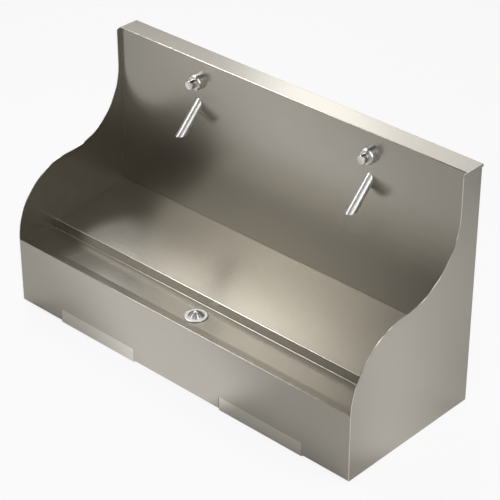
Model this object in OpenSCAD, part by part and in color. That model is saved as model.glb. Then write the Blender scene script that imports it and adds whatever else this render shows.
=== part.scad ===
// Double wudu washing station in folded stainless sheet.
// X runs across the station, Y from the apron to the wall, Z up.
// The origin is on the floor, midway across and midway from front to back.

/* [Station] */
// Width over the two side panels
station_w = 1200; // [1100:10:1500]
// Depth from the apron face to the back of the ledge lip
station_d = 471.5; // [460:0.5:520]
// Height from the floor to the top of the ledge
station_h = 706.5; // [700:0.5:800]
// Thickness of the folded sheet
sheet_t = 1.5; // [1:0.1:2]
// Distance between the two users, centre to centre
user_pitch = 600; // [500:10:640]
// Clearance under the side panels
floor_gap = 7.5; // [5:0.5:10]

/* [Side panels] */
// Thickness of the side panels
side_t = 2; // [1.5:0.1:3]
// Distance of a side panel's rear edge in front of the ledge lip's back
side_rear_gap = 5; // [4:0.5:8]
// Distance of the side panel's upper front edge in front of the back panel
crest_inset = 12; // [9:0.5:20]
// Distance below the ledge at which the front edge's two arcs meet
curve_drop = 306.5; // [290:0.5:320]
// Radius of the top front corner
crest_r = 8; // [4:1:12]
// Width of the inward front return behind the apron
front_return_w = 18; // [12:1:25]
// Width of the inward rear flange that is screwed to the wall
rear_flange_w = 25; // [20:1:32]
// Distance from the top of the ledge to the rear flange's top
rear_flange_drop = 16; // [10:1:40]

/* [Wall fixing] */
// Radius of a wall fixing hole
wall_hole_r = 4.5; // [3:0.5:6]
// Distance of the upper pair of wall holes below the ledge
wall_hole_drop = 66.5; // [40:0.5:140]
// Height of the lower pair of wall holes
wall_hole_low_z = 120; // [90:5:200]

/* [Front apron] */
// Height of the apron's top edge
apron_top_z = 204; // [200:1:205]
// Clearance under the apron
apron_gap = 8.5; // [8:0.5:12]
// Length of the hem folded down behind the top edge
hem_l = 12; // [8:1:16]
// Width of the inward return along the apron's lower edge
apron_return_w = 15; // [10:1:20]
// Width of each foot notch
notch_w = 285; // [200:5:300]
// Height of each foot notch above the apron's lower edge
notch_h = 36; // [25:1:45]

/* [Back panel] */
// Depth of the ledge from the back panel's face to the back of its lip
ledge_d = 64.5; // [62:0.5:80]
// Depth of the downturned lip at the back of the ledge
lip_h = 9; // [7:1:12]
// Outer radius of the folds
fold_r = 2.5; // [2.2:0.1:3]

/* [Shelf and gutter] */
// Height of the shelf where it meets the back panel
shelf_back_z = 229.3; // [226:0.1:240]
// Height of the shelf at its front edge
shelf_front_z = 210; // [206:1:215]
// Depth of the shelf's front edge behind the apron face
gutter_d = 135.5; // [130:0.5:145]
// Height of the gutter floor
gutter_z = 181.5; // [178:0.5:184]
// Depth of the crease in the gutter floor behind the apron face
crease_y = 48; // [42:1:49]
// Rise of the gutter floor from the crease to the front
crease_rise = 3; // [1:0.5:5]
// Height of the weld flanges at the shelf's back and the gutter's front
upstand_h = 16; // [12:1:18]

/* [Shelf stiffeners] */
// Width of a stiffener channel
stiff_w = 40; // [30:1:60]
// Depth of a stiffener channel
stiff_h = 22; // [15:1:30]
// Gap between a stiffener's ends and the sheets that it runs between
stiff_gap = 4; // [2:1:10]

/* [Feet and rear rail] */
// Thickness of the foot plates
foot_t = 3; // [2:0.5:4]
// Height of a foot plate
foot_h = 58; // [55:1:70]
// Extra width of a foot plate's upper part beyond the notch, each side
foot_ear_w = 20; // [10:1:30]
// Depth of a foot's floor flange
foot_d = 42; // [30:1:50]
// Clearance between a foot plate and the notch at each end
foot_play = 0.5; // [0.3:0.1:1]
// Radius of a floor fixing hole
floor_hole_r = 5.5; // [4:0.5:6.5]
// Thickness of the rear rail
rail_t = 2; // [1.5:0.5:3]
// Height of the rear rail
rail_h = 50; // [42:1:60]
// Width of the rail's lips
rail_lip_w = 20; // [12:1:26]
// Clearance under the rear rail
rail_gap = 12; // [10:1:14]
// Distance between the two bolts of a rear foot
foot_bolt_pitch = 180; // [100:5:220]
// Height of the rear foot bolts
foot_bolt_z = 37; // [34:1:42]
// Radius of a rear foot bolt
bolt_r = 3; // [2:0.5:4]
// Radius of a bolt's head
bolt_head_r = 5.5; // [4.5:0.5:7]
// Height of a bolt's head
bolt_head_h = 2.5; // [2:0.5:3]
// Size across the flats of a rear foot nut
nut_af = 10; // [9:1:13]
// Thickness of a rear foot nut
nut_t = 5; // [3:0.5:6]

/* [Waste outlet] */
// Distance of the waste outlet from the apron face
waste_y = 83; // [82:1:90]
// Radius of the waste flange
waste_flange_r = 32.2; // [31:0.1:33]
// Thickness of the waste flange
waste_flange_t = 2; // [1.5:0.5:3]
// Radius of the waste's threaded shank
waste_shank_r = 23.9; // [23:0.1:26]
// Length of the shank below the gutter floor
waste_shank_l = 58; // [45:1:70]
// Width and depth of the groove between the back nut's thread and the trap's thread
waste_groove = 1.5; // [1:0.5:2]
// Distance of that groove below the back nut
waste_groove_gap = 2; // [1:0.5:3]
// Radius of the waste's bore
waste_bore_r = 20; // [18:0.5:21]
// Thickness of the seal under the waste flange
waste_seal_t = 1; // [0.5:0.5:2]
// Thickness of the seal under the gutter floor
under_seal_t = 3; // [2:0.5:4]
// Size across the flats of the waste back nut
waste_nut_af = 60; // [56:1:64]
// Thickness of the waste back nut
waste_nut_t = 8; // [6:1:12]
// Radius of the strainer's rim
strainer_r = 22.4; // [22:0.1:22.6]
// Thickness of the strainer's rim
strainer_rim_t = 2.5; // [2:0.5:3]
// Radius of the strainer's hub
strainer_hub_r = 5; // [4:0.5:7]
// Height of the strainer's cone above its rim
strainer_h = 13; // [8:1:16]
// Thickness of the strainer's cone, measured upright
strainer_wall = 2; // [1.5:0.5:3]
// Number of slots in the strainer
strainer_slots = 12; // [8:1:14]
// Width of a strainer slot
strainer_slot_w = 3; // [2:0.5:4]

/* [Push button taps] */
// Distance of the tap axis below the ledge
tap_drop = 63.5; // [50:0.5:80]
// Radius of the collar on the panel
collar_r = 22.75; // [21:0.25:26]
// Length of the collar's cylindrical part
collar_side_l = 11; // [8:0.5:14]
// Whole length of the collar
collar_l = 19; // [17:0.5:22]
// Radius of the collar's front face
collar_face_r = 16.5; // [15.5:0.5:18]
// Radius of the button
button_r = 13.5; // [12:0.1:13.6]
// Distance of the button's face from the panel
button_reach = 36.6; // [34:0.1:42]
// Travel of the button when it is pushed
button_travel = 8; // [5:0.5:9]
// Running clearance between the button and the collar
button_run = 0.05; // [0.02:0.01:0.1]
// Radius of the hollow in the button
button_hollow_r = 10; // [9:0.5:11]
// Depth of the button's front wall
button_wall = 9.6; // [9.2:0.1:12]
// Length of the button's skirt behind the collar's front face
button_skirt_l = 16; // [14:0.5:17]
// Radius of the valve's threaded nose
nose_r = 16.6; // [16.2:0.1:18]
// Length of the nose in front of the panel
nose_l = 9; // [7:0.5:10]
// Depth of the button's bore beyond the pushed button
bore_spare = 4; // [3:0.5:5]
// Radius of the valve body
valve_r = 19; // [18:0.5:21]
// Length of the valve body behind its washer
valve_l = 37; // [34:1:40]
// Thickness of the valve washer
valve_washer_t = 3; // [2:0.5:4]
// Radius of the plunger
plunger_r = 4; // [3:0.5:5]
// Radius of the plunger's waist in the outlet gallery
plunger_waist_r = 2.5; // [2:0.5:3]
// Running clearance between the plunger and its guide
plunger_run = 0.05; // [0.02:0.01:0.1]
// Radius of the poppet on the plunger's end
poppet_r = 7.5; // [7:0.5:8]
// Thickness of the poppet
poppet_t = 4; // [3:0.5:5]
// Radius of the valve's outlet gallery
gallery_r = 6; // [5.5:0.5:6.5]
// Length of the outlet gallery
gallery_l = 7.5; // [7:0.5:9]
// Radius of the valve's inlet chamber
chamber_r = 9; // [8.5:0.5:11]
// Length of the inlet chamber
chamber_l = 16.5; // [15.5:0.5:18]
// Size across the flats of the valve cap
cap_af = 30; // [27:1:32]
// Thickness of the valve cap
cap_t = 6; // [4:0.5:8]
// Radius of the plunger seal's cord
seal_cord_r = 1; // [0.8:0.1:1.2]
// Clearance of the plunger seal from the plunger
seal_play = 0.1; // [0.05:0.05:0.2]

/* [Return springs] */
// Radius of the spring wire
spring_wire_r = 0.8; // [0.5:0.1:1]
// Mean radius of the spring
spring_mean_r = 7; // [6.2:0.1:8]
// Number of curls in the spring
spring_curls = 7; // [4:1:9]
// Gap left at each end of the spring
spring_seat_gap = 0.3; // [0.2:0.05:0.4]

/* [Water inlets] */
// Radius of the inlet nipple's thread
inlet_r = 10.45; // [9:0.05:12]
// Radius of the inlet nipple's bore
inlet_bore_r = 6; // [4:0.5:7]
// Length of the nipple's free thread
inlet_l = 13; // [11:0.5:14]
// Length of the nipple's screwed-in thread
inlet_screwed_l = 7; // [5:0.5:8]
// Thickness of the nipple's hexagon
inlet_hex_t = 5; // [4:0.5:6]
// Size across the flats of the nipple's hexagon
inlet_hex_af = 24; // [22:1:26]
// Distance of the inlet's axis from the valve axis
inlet_offset = 34; // [33:0.5:40]
// Radius of the valve's inlet boss
inlet_boss_r = 14; // [13:0.5:15]
// Distance of the inlet boss's end behind the valve body
inlet_boss_back = 3.5; // [2:0.5:5]
// Radius of the neck between the valve body and the inlet boss
inlet_neck_r = 9; // [8.5:0.5:10]

/* [Spouts] */
// Radius of the spout tube
spout_r = 13; // [11:0.5:14]
// Wall of the spout tube
spout_wall = 2; // [1:0.5:3]
// Slope of the spout below level
spout_angle = 45; // [40:1:50]
// Distance below the tap axis at which the spout's axis meets the panel's face
spout_drop = 70; // [66:1:80]
// Forward reach of the spout's axis at its cut end
spout_reach = 66.5; // [60:0.5:80]
// Length of the spout tube behind the panel's face, along its axis
spout_stub_l = 25; // [22:0.5:30]
// Distance of the spout socket from the panel's face, along its axis
socket_start_l = 19; // [19:0.5:21]
// Length of the spout socket
socket_l = 13; // [11:0.5:16]
// Wall of the spout socket
socket_wall = 2.5; // [2:0.5:4]
// Radius of the way from the outlet pipe into the spout socket
socket_way_r = 5.5; // [4:0.5:6]
// Radius of the outlet pipe
pipe_r = 7.5; // [6:0.5:8]
// Wall of the outlet pipe
pipe_wall = 1; // [0.8:0.1:1.5]
// Depth to which the outlet pipe enters each boss
pipe_entry = 7.5; // [5:0.5:8]
// Wall of the bosses that hold the outlet pipe
pipe_boss_wall = 3; // [2:0.5:4]
// Distance of the valve's outlet boss end below the valve axis
outlet_boss_l = 27; // [26.5:0.5:30]
// Height of the socket's boss end below the valve axis
socket_boss_drop = 38; // [36:1:40]

/* [Hidden] */
$fn = 64;

// Overrun of every cut past the face that it cuts
over = 1;
// Clearance of a part that is slipped over, or screwed into, another
slip = 0.1;
// Clearance of a part that passes through a hole in a sheet
pass_gap = 0.4;
// Clearance of the button inside the valve's nose
easy_gap = 0.3;
// Steps in a quarter arc of a side panel, and in a fold
arc_steps = 24;
fold_steps = 5;
// Sides of the spring wire, and rings in each curl
wire_sides = 6;
curl_rings = 12;

left = -1;
right = 1;
inner_half_w = station_w / 2 - side_t;
foot_x = station_w / 4;
panel_y = station_d - ledge_d;
side_d = station_d - side_rear_gap;
curve_r = (panel_y - crest_inset) / 2;
curve_mid_z = station_h - curve_drop;
wall_hole_top_z = station_h - wall_hole_drop;
tap_z = station_h - tap_drop;
spout_root_z = tap_z - spout_drop;
panel_back_y = panel_y + sheet_t;
ledge_under_z = station_h - sheet_t;
front_y = -station_d / 2;
hem_t = 2 * sheet_t;
shelf_slope = atan((shelf_back_z - shelf_front_z) / (panel_back_y - gutter_d));
waste_top_z = gutter_z + waste_seal_t + waste_flange_t;
waste_hole_r = waste_shank_r + slip;
button_skirt_end = -collar_l + button_skirt_l;
valve_front = sheet_t + valve_washer_t;
valve_end = valve_front + valve_l;
chamber_y = valve_end - chamber_l;
gallery_y = chamber_y - gallery_l;
button_bore_end = button_skirt_end + button_travel + bore_spare;
outlet_y = gallery_y + gallery_l / 2;
inlet_y = chamber_y + inlet_bore_r;
inlet_end = valve_end + inlet_boss_back;
socket_low_z = outlet_y * tan(spout_angle) - spout_drop;
foot_plate_y = sheet_t;
rail_y = side_d - side_t - rail_t;

function unit(v) = v / norm(v);
function left_of(v) = [-v[1], v[0]];
function cross2(a, b) = a[0] * b[1] - a[1] * b[0];
function turn(v, a) = [v[0] * cos(a) - v[1] * sin(a), v[0] * sin(a) + v[1] * cos(a)];

// Points of an arc about c
function arc(c, r, a0, a1, steps) =
    [for (i = [0:steps]) c + r * [cos(a0 + (a1 - a0) * i / steps), sin(a0 + (a1 - a0) * i / steps)]];

// Points that round the corner at p, between a and b, with radius r
function corner(a, p, b, r) =
    let (d1 = unit(p - a), d2 = unit(b - p), bend = acos(d1 * d2), side = sign(cross2(d1, d2)),
         start = p - d1 * r * tan(bend / 2), out = -left_of(d1) * side * r)
    [for (i = [0:fold_steps]) start - out + turn(out, side * bend * i / fold_steps)];

// An open path with each inner corner rounded by its own radius
function folded(p, radii) = [
    for (i = [0:len(p) - 1])
        each (i == 0 || i == len(p) - 1 || radii[i] == 0
            ? [p[i]] : corner(p[i - 1], p[i], p[i + 1], radii[i]))
];

// The point beside vertex i of an open path, t to its left
function beside(p, i, t) =
    let (a = unit(p[max(i, 1)] - p[max(i, 1) - 1]),
         b = unit(p[min(i, len(p) - 2) + 1] - p[min(i, len(p) - 2)]), n = left_of(unit(a + b)))
    p[i] + n * t / (n * left_of(b));

// Closed outline of a sheet of thickness t, whose one face follows the path
function sheet(p, t) = concat(p, [for (i = [len(p) - 1:-1:0]) beside(p, i, t)]);

// Puts station places, measured from the apron face, in the part's frame
module in_station() translate([0, front_y, 0]) children();

// Extrudes an outline of depths and heights across the station
module across(x0, x1) translate([x0, 0, 0]) rotate([90, 0, 90]) linear_extrude(x1 - x0) children();

// A plate given by its lowest corner and its highest corner
module block(lo, hi) translate(lo) cube(hi - lo);

// A rod along Y
module rod_y(r, y0, y1) translate([0, y0, 0]) rotate([-90, 0, 0]) cylinder(r = r, h = y1 - y0);

// A ring along Y
module ring_y(r_out, r_in, y0, y1) difference() {
    rod_y(r_out, y0, y1);
    rod_y(r_in, y0 - over, y1 + over);
}

// An upright hole
module hole_z(r, x, y, z0, z1) translate([x, y, z0 - over]) cylinder(r = r, h = z1 - z0 + 2 * over);

// The place of a tap, with Y running back from the panel's face
module at_tap(side) in_station() translate([side * user_pitch / 2, panel_y, tap_z]) children();

// The place of a spout, with Z running down along its axis from the panel's face
module along_spout(side) at_tap(side) translate([0, 0, -spout_drop])
    rotate([90 + spout_angle, 0, 0]) children();

// Sheet metal

module back_panel() color("silver") in_station() difference() {
    across(-station_w / 2, station_w / 2)
        polygon(sheet(folded([
            [panel_y, shelf_back_z], [panel_y, station_h],
            [station_d, station_h], [station_d, station_h - lip_h]
        ], [0, fold_r, fold_r, 0]), -sheet_t));
    for (side = [left, right])
        block([min(side * inner_half_w, side * (station_w / 2 + over)), panel_y - over, -over],
              [max(side * inner_half_w, side * (station_w / 2 + over)), side_d + pass_gap, station_h + over]);
    for (side = [left, right]) {
        translate([side * user_pitch / 2, 0, tap_z])
            rod_y(nose_r + pass_gap, panel_y - over, panel_back_y + over);
        translate([side * user_pitch / 2, panel_y, spout_root_z])
            rotate([90 + spout_angle, 0, 0])
                cylinder(r = spout_r + slip, h = 8 * spout_r, center = true);
    }
}

module trough_pan() color("silver") in_station() difference() {
    across(-inner_half_w, inner_half_w)
        polygon(sheet(folded([
            [panel_back_y, shelf_back_z + upstand_h], [panel_back_y, shelf_back_z],
            [gutter_d, shelf_front_z], [gutter_d, gutter_z], [crease_y, gutter_z],
            [hem_t + sheet_t, gutter_z + crease_rise],
            [hem_t + sheet_t, gutter_z + crease_rise + upstand_h]
        ], [0, 0, fold_r, fold_r, 0, fold_r, 0]), sheet_t));
    hole_z(waste_hole_r, 0, waste_y, gutter_z - sheet_t, gutter_z);
}

module front_apron() color("silver") in_station() difference() {
    union() {
        across(-inner_half_w, inner_half_w)
            polygon(concat(
                [[0, apron_gap], [sheet_t, apron_gap]],
                [[sheet_t, apron_top_z - hem_l], [hem_t, apron_top_z - hem_l]],
                arc([sheet_t, apron_top_z - sheet_t], sheet_t, 0, 180, 2 * fold_steps)
            ));
        block([-inner_half_w + front_return_w + pass_gap, 0, apron_gap],
              [inner_half_w - front_return_w - pass_gap, sheet_t + apron_return_w, apron_gap + sheet_t]);
    }
    for (side = [left, right])
        translate([side * foot_x, 0, 0])
            block([-notch_w / 2, -over, apron_gap - over],
                  [notch_w / 2, sheet_t + apron_return_w + over, apron_gap + notch_h]);
}

// Outline of a side panel, as depths and heights
function side_outline() = concat(
    [[side_d, floor_gap], [side_d, station_h]],
    arc([2 * curve_r + crest_r, station_h - crest_r], crest_r, 90, 180, fold_steps),
    arc([curve_r, curve_mid_z + curve_r], curve_r, 0, -90, arc_steps),
    arc([curve_r, curve_mid_z - curve_r], curve_r, 90, 180, arc_steps),
    [[0, floor_gap]]
);

module side_panel(side) color("silver") in_station() difference() {
    union() {
        across(side > 0 ? inner_half_w : -station_w / 2, side > 0 ? station_w / 2 : -inner_half_w)
            polygon(side_outline());
        mirror([side > 0 ? 0 : 1, 0, 0]) {
            block([inner_half_w - front_return_w, sheet_t, floor_gap],
                  [inner_half_w, sheet_t + side_t, gutter_z - fold_r]);
            block([inner_half_w - rear_flange_w, side_d - side_t, floor_gap],
                  [inner_half_w, side_d, station_h - rear_flange_drop]);
        }
    }
    for (z = [wall_hole_low_z, wall_hole_top_z])
        translate([side * (inner_half_w - rear_flange_w / 2), 0, z])
            rod_y(wall_hole_r, side_d - side_t - over, side_d + over);
}

// Frame under the shelf

// A channel under the shelf, centred on x
module shelf_stiffener(x) color("darkgray") in_station()
    translate([x, gutter_d, shelf_front_z]) rotate([shelf_slope, 0, 0]) {
        run0 = sheet_t + stiff_gap;
        run1 = (panel_y - gutter_d) / cos(shelf_slope) - stiff_gap;
        top = -sheet_t;
        block([-stiff_w / 2, run0, top - sheet_t], [stiff_w / 2, run1, top]);
        for (side = [left, right])
            translate([side * (stiff_w - sheet_t) / 2, 0, 0])
                block([-sheet_t / 2, run0, top - stiff_h], [sheet_t / 2, run1, top - sheet_t]);
    }

module rear_rail() color("darkgray") in_station() difference() {
    union() {
        block([-inner_half_w, rail_y, rail_gap], [inner_half_w, rail_y + rail_t, rail_gap + rail_h]);
        for (z = [rail_gap, rail_gap + rail_h - rail_t])
            block([-inner_half_w, rail_y - rail_lip_w, z], [inner_half_w, rail_y, z + rail_t]);
    }
    foot_bolt_places() rod_y(bolt_r + slip, rail_y - over, rail_y + rail_t + over);
}

module foot_bolt_places()
    for (side = [left, right], end = [left, right])
        translate([side * foot_x + end * foot_bolt_pitch / 2, 0, foot_bolt_z]) children();

module front_foot(side) color("silver") in_station() translate([side * foot_x, 0, 0]) {
    half = notch_w / 2 - foot_play;
    plate_y = foot_plate_y + foot_t;
    difference() {
        union() {
            block([-half, foot_plate_y, 0], [half, plate_y, foot_h]);
            block([-half - foot_ear_w, foot_plate_y, apron_gap + sheet_t + pass_gap],
                  [half + foot_ear_w, plate_y, foot_h]);
            block([-half, plate_y, 0], [half, foot_plate_y + foot_d, foot_t]);
        }
        hole_z(floor_hole_r, 0, foot_plate_y + foot_t + foot_d / 2, 0, foot_t);
    }
}

module rear_foot(side) color("darkgray") in_station() translate([side * foot_x, 0, 0]) {
    half = notch_w / 2 - foot_play;
    back = rail_y + rail_t + foot_t;
    difference() {
        union() {
            block([-half, back - foot_t, 0], [half, back, foot_h]);
            block([-half, back - foot_d, 0], [half, back - foot_t, foot_t]);
        }
        hole_z(floor_hole_r, 0, back - foot_t - foot_d / 2, 0, foot_t);
        for (end = [left, right])
            translate([end * foot_bolt_pitch / 2, 0, foot_bolt_z])
                rod_y(bolt_r + slip, back - foot_t - over, back + over);
    }
}

module rear_foot_bolts() color("gainsboro") in_station() foot_bolt_places() {
    back = rail_y + rail_t + foot_t;
    rod_y(bolt_r, rail_y - nut_t, back);
    rod_y(bolt_head_r, back, back + bolt_head_h);
}

module rear_foot_nuts() color("gainsboro") in_station() foot_bolt_places() difference() {
    translate([0, rail_y - nut_t, 0]) rotate([-90, 0, 0])
        cylinder(d = nut_af / cos(30), h = nut_t, $fn = 6);
    rod_y(bolt_r + slip, rail_y - nut_t - over, rail_y + over);
}

// Waste outlet

module at_waste() in_station() translate([0, waste_y, gutter_z]) children();

module waste_body() color("lightgray") at_waste() {
    top = waste_seal_t + waste_flange_t;
    seat = top - strainer_rim_t;
    groove_z = -sheet_t - under_seal_t - waste_nut_t - waste_groove_gap;
    rotate_extrude() polygon([
        [waste_bore_r, -waste_shank_l], [waste_shank_r, -waste_shank_l],
        [waste_shank_r, groove_z - waste_groove], [waste_shank_r - waste_groove, groove_z - waste_groove],
        [waste_shank_r - waste_groove, groove_z], [waste_shank_r, groove_z],
        [waste_shank_r, waste_seal_t], [waste_flange_r, waste_seal_t],
        [waste_flange_r, waste_seal_t + waste_flange_t / 2],
        [waste_flange_r - waste_flange_t, top], [strainer_r + slip, top],
        [strainer_r + slip, seat], [waste_bore_r, seat]
    ]);
}

module waste_strainer() color("lightgray") at_waste() {
    seat = waste_seal_t + waste_flange_t - strainer_rim_t;
    rim_in = strainer_r - strainer_rim_t;
    dome_top = strainer_h + strainer_rim_t;
    difference() {
        translate([0, 0, seat]) rotate_extrude() polygon([
            [0, dome_top - strainer_wall], [strainer_hub_r, dome_top - strainer_wall],
            [waste_bore_r, 0], [strainer_r, 0], [strainer_r, strainer_rim_t],
            [rim_in + strainer_wall, strainer_rim_t], [strainer_hub_r, dome_top],
            [0, dome_top + strainer_wall / 4]
        ]);
        for (i = [0:strainer_slots - 1]) rotate([0, 0, 360 * (i + 0.5) / strainer_slots])
            block([strainer_hub_r + strainer_wall, -strainer_slot_w / 2, seat - over],
                  [rim_in - strainer_wall / 2, strainer_slot_w / 2, seat + dome_top + over]);
    }
}

module waste_flange_seal() color("dimgray") at_waste() difference() {
    cylinder(r = waste_flange_r - waste_flange_t, h = waste_seal_t);
    translate([0, 0, -over]) cylinder(r = waste_shank_r + slip, h = waste_seal_t + 2 * over);
}

module waste_under_seal() color("dimgray") at_waste() translate([0, 0, -sheet_t - under_seal_t]) difference() {
    cylinder(r = waste_flange_r, h = under_seal_t);
    translate([0, 0, -over]) cylinder(r = waste_shank_r + slip, h = under_seal_t + 2 * over);
}

module waste_back_nut() color("goldenrod") at_waste()
    translate([0, 0, -sheet_t - under_seal_t - waste_nut_t]) difference() {
        cylinder(d = waste_nut_af / cos(30), h = waste_nut_t, $fn = 6);
        translate([0, 0, -over]) cylinder(r = waste_shank_r + slip, h = waste_nut_t + 2 * over);
    }

// Push button taps, placed by their own axis

module tap_collar(side) color("whitesmoke") at_tap(side) rotate([-90, 0, 0]) rotate_extrude() {
    dome_l = collar_l - collar_side_l;
    thread_r = nose_r + slip;
    polygon(concat(
        [[thread_r, 0], [collar_r, 0]],
        [for (i = [0:fold_steps])
            [collar_face_r + (collar_r - collar_face_r) * cos(90 * i / fold_steps),
             -collar_side_l - dome_l * sin(90 * i / fold_steps)]],
        [[button_r + button_run, -collar_l], [button_r + button_run, -nose_l - slip]],
        [[thread_r, -nose_l - slip]]
    ));
}

module push_button(side) color("whitesmoke") at_tap(side) difference() {
    rod_y(button_r, -button_reach, button_skirt_end);
    rod_y(button_hollow_r, -button_reach + button_wall, button_skirt_end + over);
}

module plunger(side) color("gold") at_tap(side) {
    rod_y(plunger_r, -button_reach + button_wall, gallery_y - pass_gap);
    rod_y(plunger_waist_r, gallery_y - pass_gap, chamber_y + slip);
    rod_y(poppet_r, chamber_y + slip, chamber_y + slip + poppet_t);
}

// Centre line of the return spring, one point for each step
spring_y0 = -button_reach + button_wall + spring_seat_gap + spring_wire_r;
spring_y1 = button_bore_end - spring_seat_gap - spring_wire_r;
spring_steps = spring_curls * curl_rings;
function spring_point(i) =
    let (a = 360 * i / curl_rings, y = spring_y0 + (spring_y1 - spring_y0) * i / spring_steps)
    [spring_mean_r * cos(a), y, spring_mean_r * sin(a)];
function spring_ring(i) =
    let (a = 360 * i / curl_rings, out = [cos(a), 0, sin(a)])
    [for (k = [0:wire_sides - 1]) let (b = 360 * k / wire_sides)
        spring_point(i) + spring_wire_r * (cos(b) * out + sin(b) * [0, 1, 0])];

module return_spring(side) color("slategray") at_tap(side) {
    points = [for (i = [0:spring_steps]) each spring_ring(i)];
    last = spring_steps * wire_sides;
    polyhedron(points, concat(
        [[for (k = [0:wire_sides - 1]) k]],
        [for (i = [0:spring_steps - 1], k = [0:wire_sides - 1]) each
            let (a = i * wire_sides + k, b = i * wire_sides + (k + 1) % wire_sides)
            [[a, a + wire_sides, b], [b, a + wire_sides, b + wire_sides]]],
        [[for (k = [wire_sides - 1:-1:0]) last + k]]
    ));
}

seal_mid_r = plunger_r + seal_play + seal_cord_r;
seal_y = (button_bore_end + gallery_y) / 2;

module plunger_seal(side) color("dimgray") at_tap(side) translate([0, seal_y, 0])
    rotate([-90, 0, 0]) rotate_extrude() translate([seal_mid_r, 0]) circle(r = seal_cord_r, $fn = 24);

module valve_body(side) color("goldenrod") at_tap(side) difference() {
    union() {
        rod_y(nose_r, -nose_l, valve_front);
        rod_y(valve_r, valve_front, valve_end);
        translate([0, outlet_y, -outlet_boss_l]) cylinder(r = pipe_r + pipe_boss_wall, h = outlet_boss_l);
        translate([0, inlet_y, 0]) rotate([0, side * 90, 0]) cylinder(r = inlet_neck_r, h = inlet_offset);
        translate([side * inlet_offset, 0, 0]) rod_y(inlet_boss_r, inlet_y - inlet_neck_r, inlet_end);
    }
    rod_y(button_r + easy_gap, -nose_l - over, button_bore_end);
    rod_y(plunger_r + plunger_run, 0, valve_end);
    ring_groove();
    rod_y(gallery_r, gallery_y, chamber_y + over);
    rod_y(chamber_r, chamber_y, valve_end + over);
    translate([0, outlet_y, -outlet_boss_l - over]) cylinder(r = pipe_r + slip, h = pipe_entry + over);
    translate([0, outlet_y, -outlet_boss_l]) cylinder(r = gallery_l / 2, h = outlet_boss_l);
    translate([0, inlet_y, 0]) rotate([0, side * 90, 0]) cylinder(r = inlet_bore_r, h = inlet_offset);
    translate([side * inlet_offset, 0, 0]) {
        rod_y(inlet_bore_r, inlet_y, inlet_end);
        rod_y(inlet_r + slip, inlet_end - inlet_screwed_l - slip, inlet_end + over);
    }
}

module ring_groove()
    rod_y(seal_mid_r + seal_cord_r + slip, seal_y - seal_cord_r - slip, seal_y + seal_cord_r + slip);

module valve_washer(side) color("dimgray") at_tap(side)
    ring_y(valve_r, nose_r + slip, sheet_t, valve_front);

module valve_cap(side) color("goldenrod") at_tap(side) {
    translate([0, valve_end, 0]) rotate([-90, 0, 0]) cylinder(d = cap_af / cos(30), h = cap_t, $fn = 6);
    rod_y(chamber_r - slip, valve_end - chamber_l / 8, valve_end);
}

module inlet_nipple(side) color("goldenrod") at_tap(side) translate([side * inlet_offset, inlet_end, 0])
    difference() {
        union() {
            rod_y(inlet_r, -inlet_screwed_l, inlet_hex_t + inlet_l);
            rotate([-90, 0, 0]) cylinder(d = inlet_hex_af / cos(30), h = inlet_hex_t, $fn = 6);
        }
        rod_y(inlet_bore_r, -inlet_screwed_l - over, inlet_hex_t + inlet_l + over);
    }

module outlet_pipe(side) color("darkorange") at_tap(side) translate([0, outlet_y, 0]) difference() {
    top = -outlet_boss_l + pipe_entry;
    low = -socket_boss_drop - pipe_entry;
    translate([0, 0, low]) cylinder(r = pipe_r, h = top - low);
    translate([0, 0, low - over]) cylinder(r = pipe_r - pipe_wall, h = top - low + 2 * over);
}

module spout_socket(side) color("goldenrod") difference() {
    union() {
        along_spout(side) translate([0, 0, -socket_start_l - socket_l])
            cylinder(r = spout_r + socket_wall, h = socket_l);
        at_tap(side) translate([0, outlet_y, socket_low_z])
            cylinder(r = pipe_r + pipe_boss_wall, h = -socket_boss_drop - socket_low_z);
    }
    along_spout(side) {
        translate([0, 0, -spout_stub_l - slip]) cylinder(r = spout_r + slip, h = socket_l);
        translate([0, 0, -socket_start_l - socket_l + socket_wall])
            cylinder(r = spout_r - spout_wall - socket_wall, h = socket_l);
    }
    at_tap(side) translate([0, outlet_y, -socket_boss_drop - pipe_entry - slip])
        cylinder(r = pipe_r + slip, h = pipe_entry + 2 * over);
    at_tap(side) translate([0, outlet_y, socket_low_z])
        cylinder(r = socket_way_r, h = -socket_boss_drop - socket_low_z);
}

module spout(side) color("whitesmoke") difference() {
    length = (spout_reach + 2 * spout_r) / cos(spout_angle);
    cut_z = spout_root_z - spout_reach * tan(spout_angle);
    along_spout(side) translate([0, 0, -spout_stub_l]) cylinder(r = spout_r, h = spout_stub_l + length);
    along_spout(side) translate([0, 0, -spout_stub_l - over])
        cylinder(r = spout_r - spout_wall, h = spout_stub_l + length + 2 * over);
    in_station() translate([side * user_pitch / 2, 0, 0])
        block([-2 * spout_r, 0, cut_z - 6 * spout_r], [2 * spout_r, panel_y, cut_z]);
}

back_panel();
trough_pan();
front_apron();
side_panel(left);  // side_panel_left
side_panel(right);  // side_panel_right
shelf_stiffener(-user_pitch / 2);  // shelf_stiffener_left
shelf_stiffener(0);  // shelf_stiffener_centre
shelf_stiffener(user_pitch / 2);  // shelf_stiffener_right
rear_rail();
front_foot(left);  // front_foot_left
front_foot(right);  // front_foot_right
rear_foot(left);  // rear_foot_left
rear_foot(right);  // rear_foot_right
rear_foot_bolts();
rear_foot_nuts();
waste_body();
waste_strainer();
waste_flange_seal();
waste_under_seal();
waste_back_nut();
tap_collar(left);  // tap_collar_left
tap_collar(right);  // tap_collar_right
push_button(left);  // push_button_left
push_button(right);  // push_button_right
plunger(left);  // plunger_left
plunger(right);  // plunger_right
return_spring(left);  // return_spring_left
return_spring(right);  // return_spring_right
plunger_seal(left);  // plunger_seal_left
plunger_seal(right);  // plunger_seal_right
valve_body(left);  // valve_body_left
valve_body(right);  // valve_body_right
valve_washer(left);  // valve_washer_left
valve_washer(right);  // valve_washer_right
valve_cap(left);  // valve_cap_left
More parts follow.
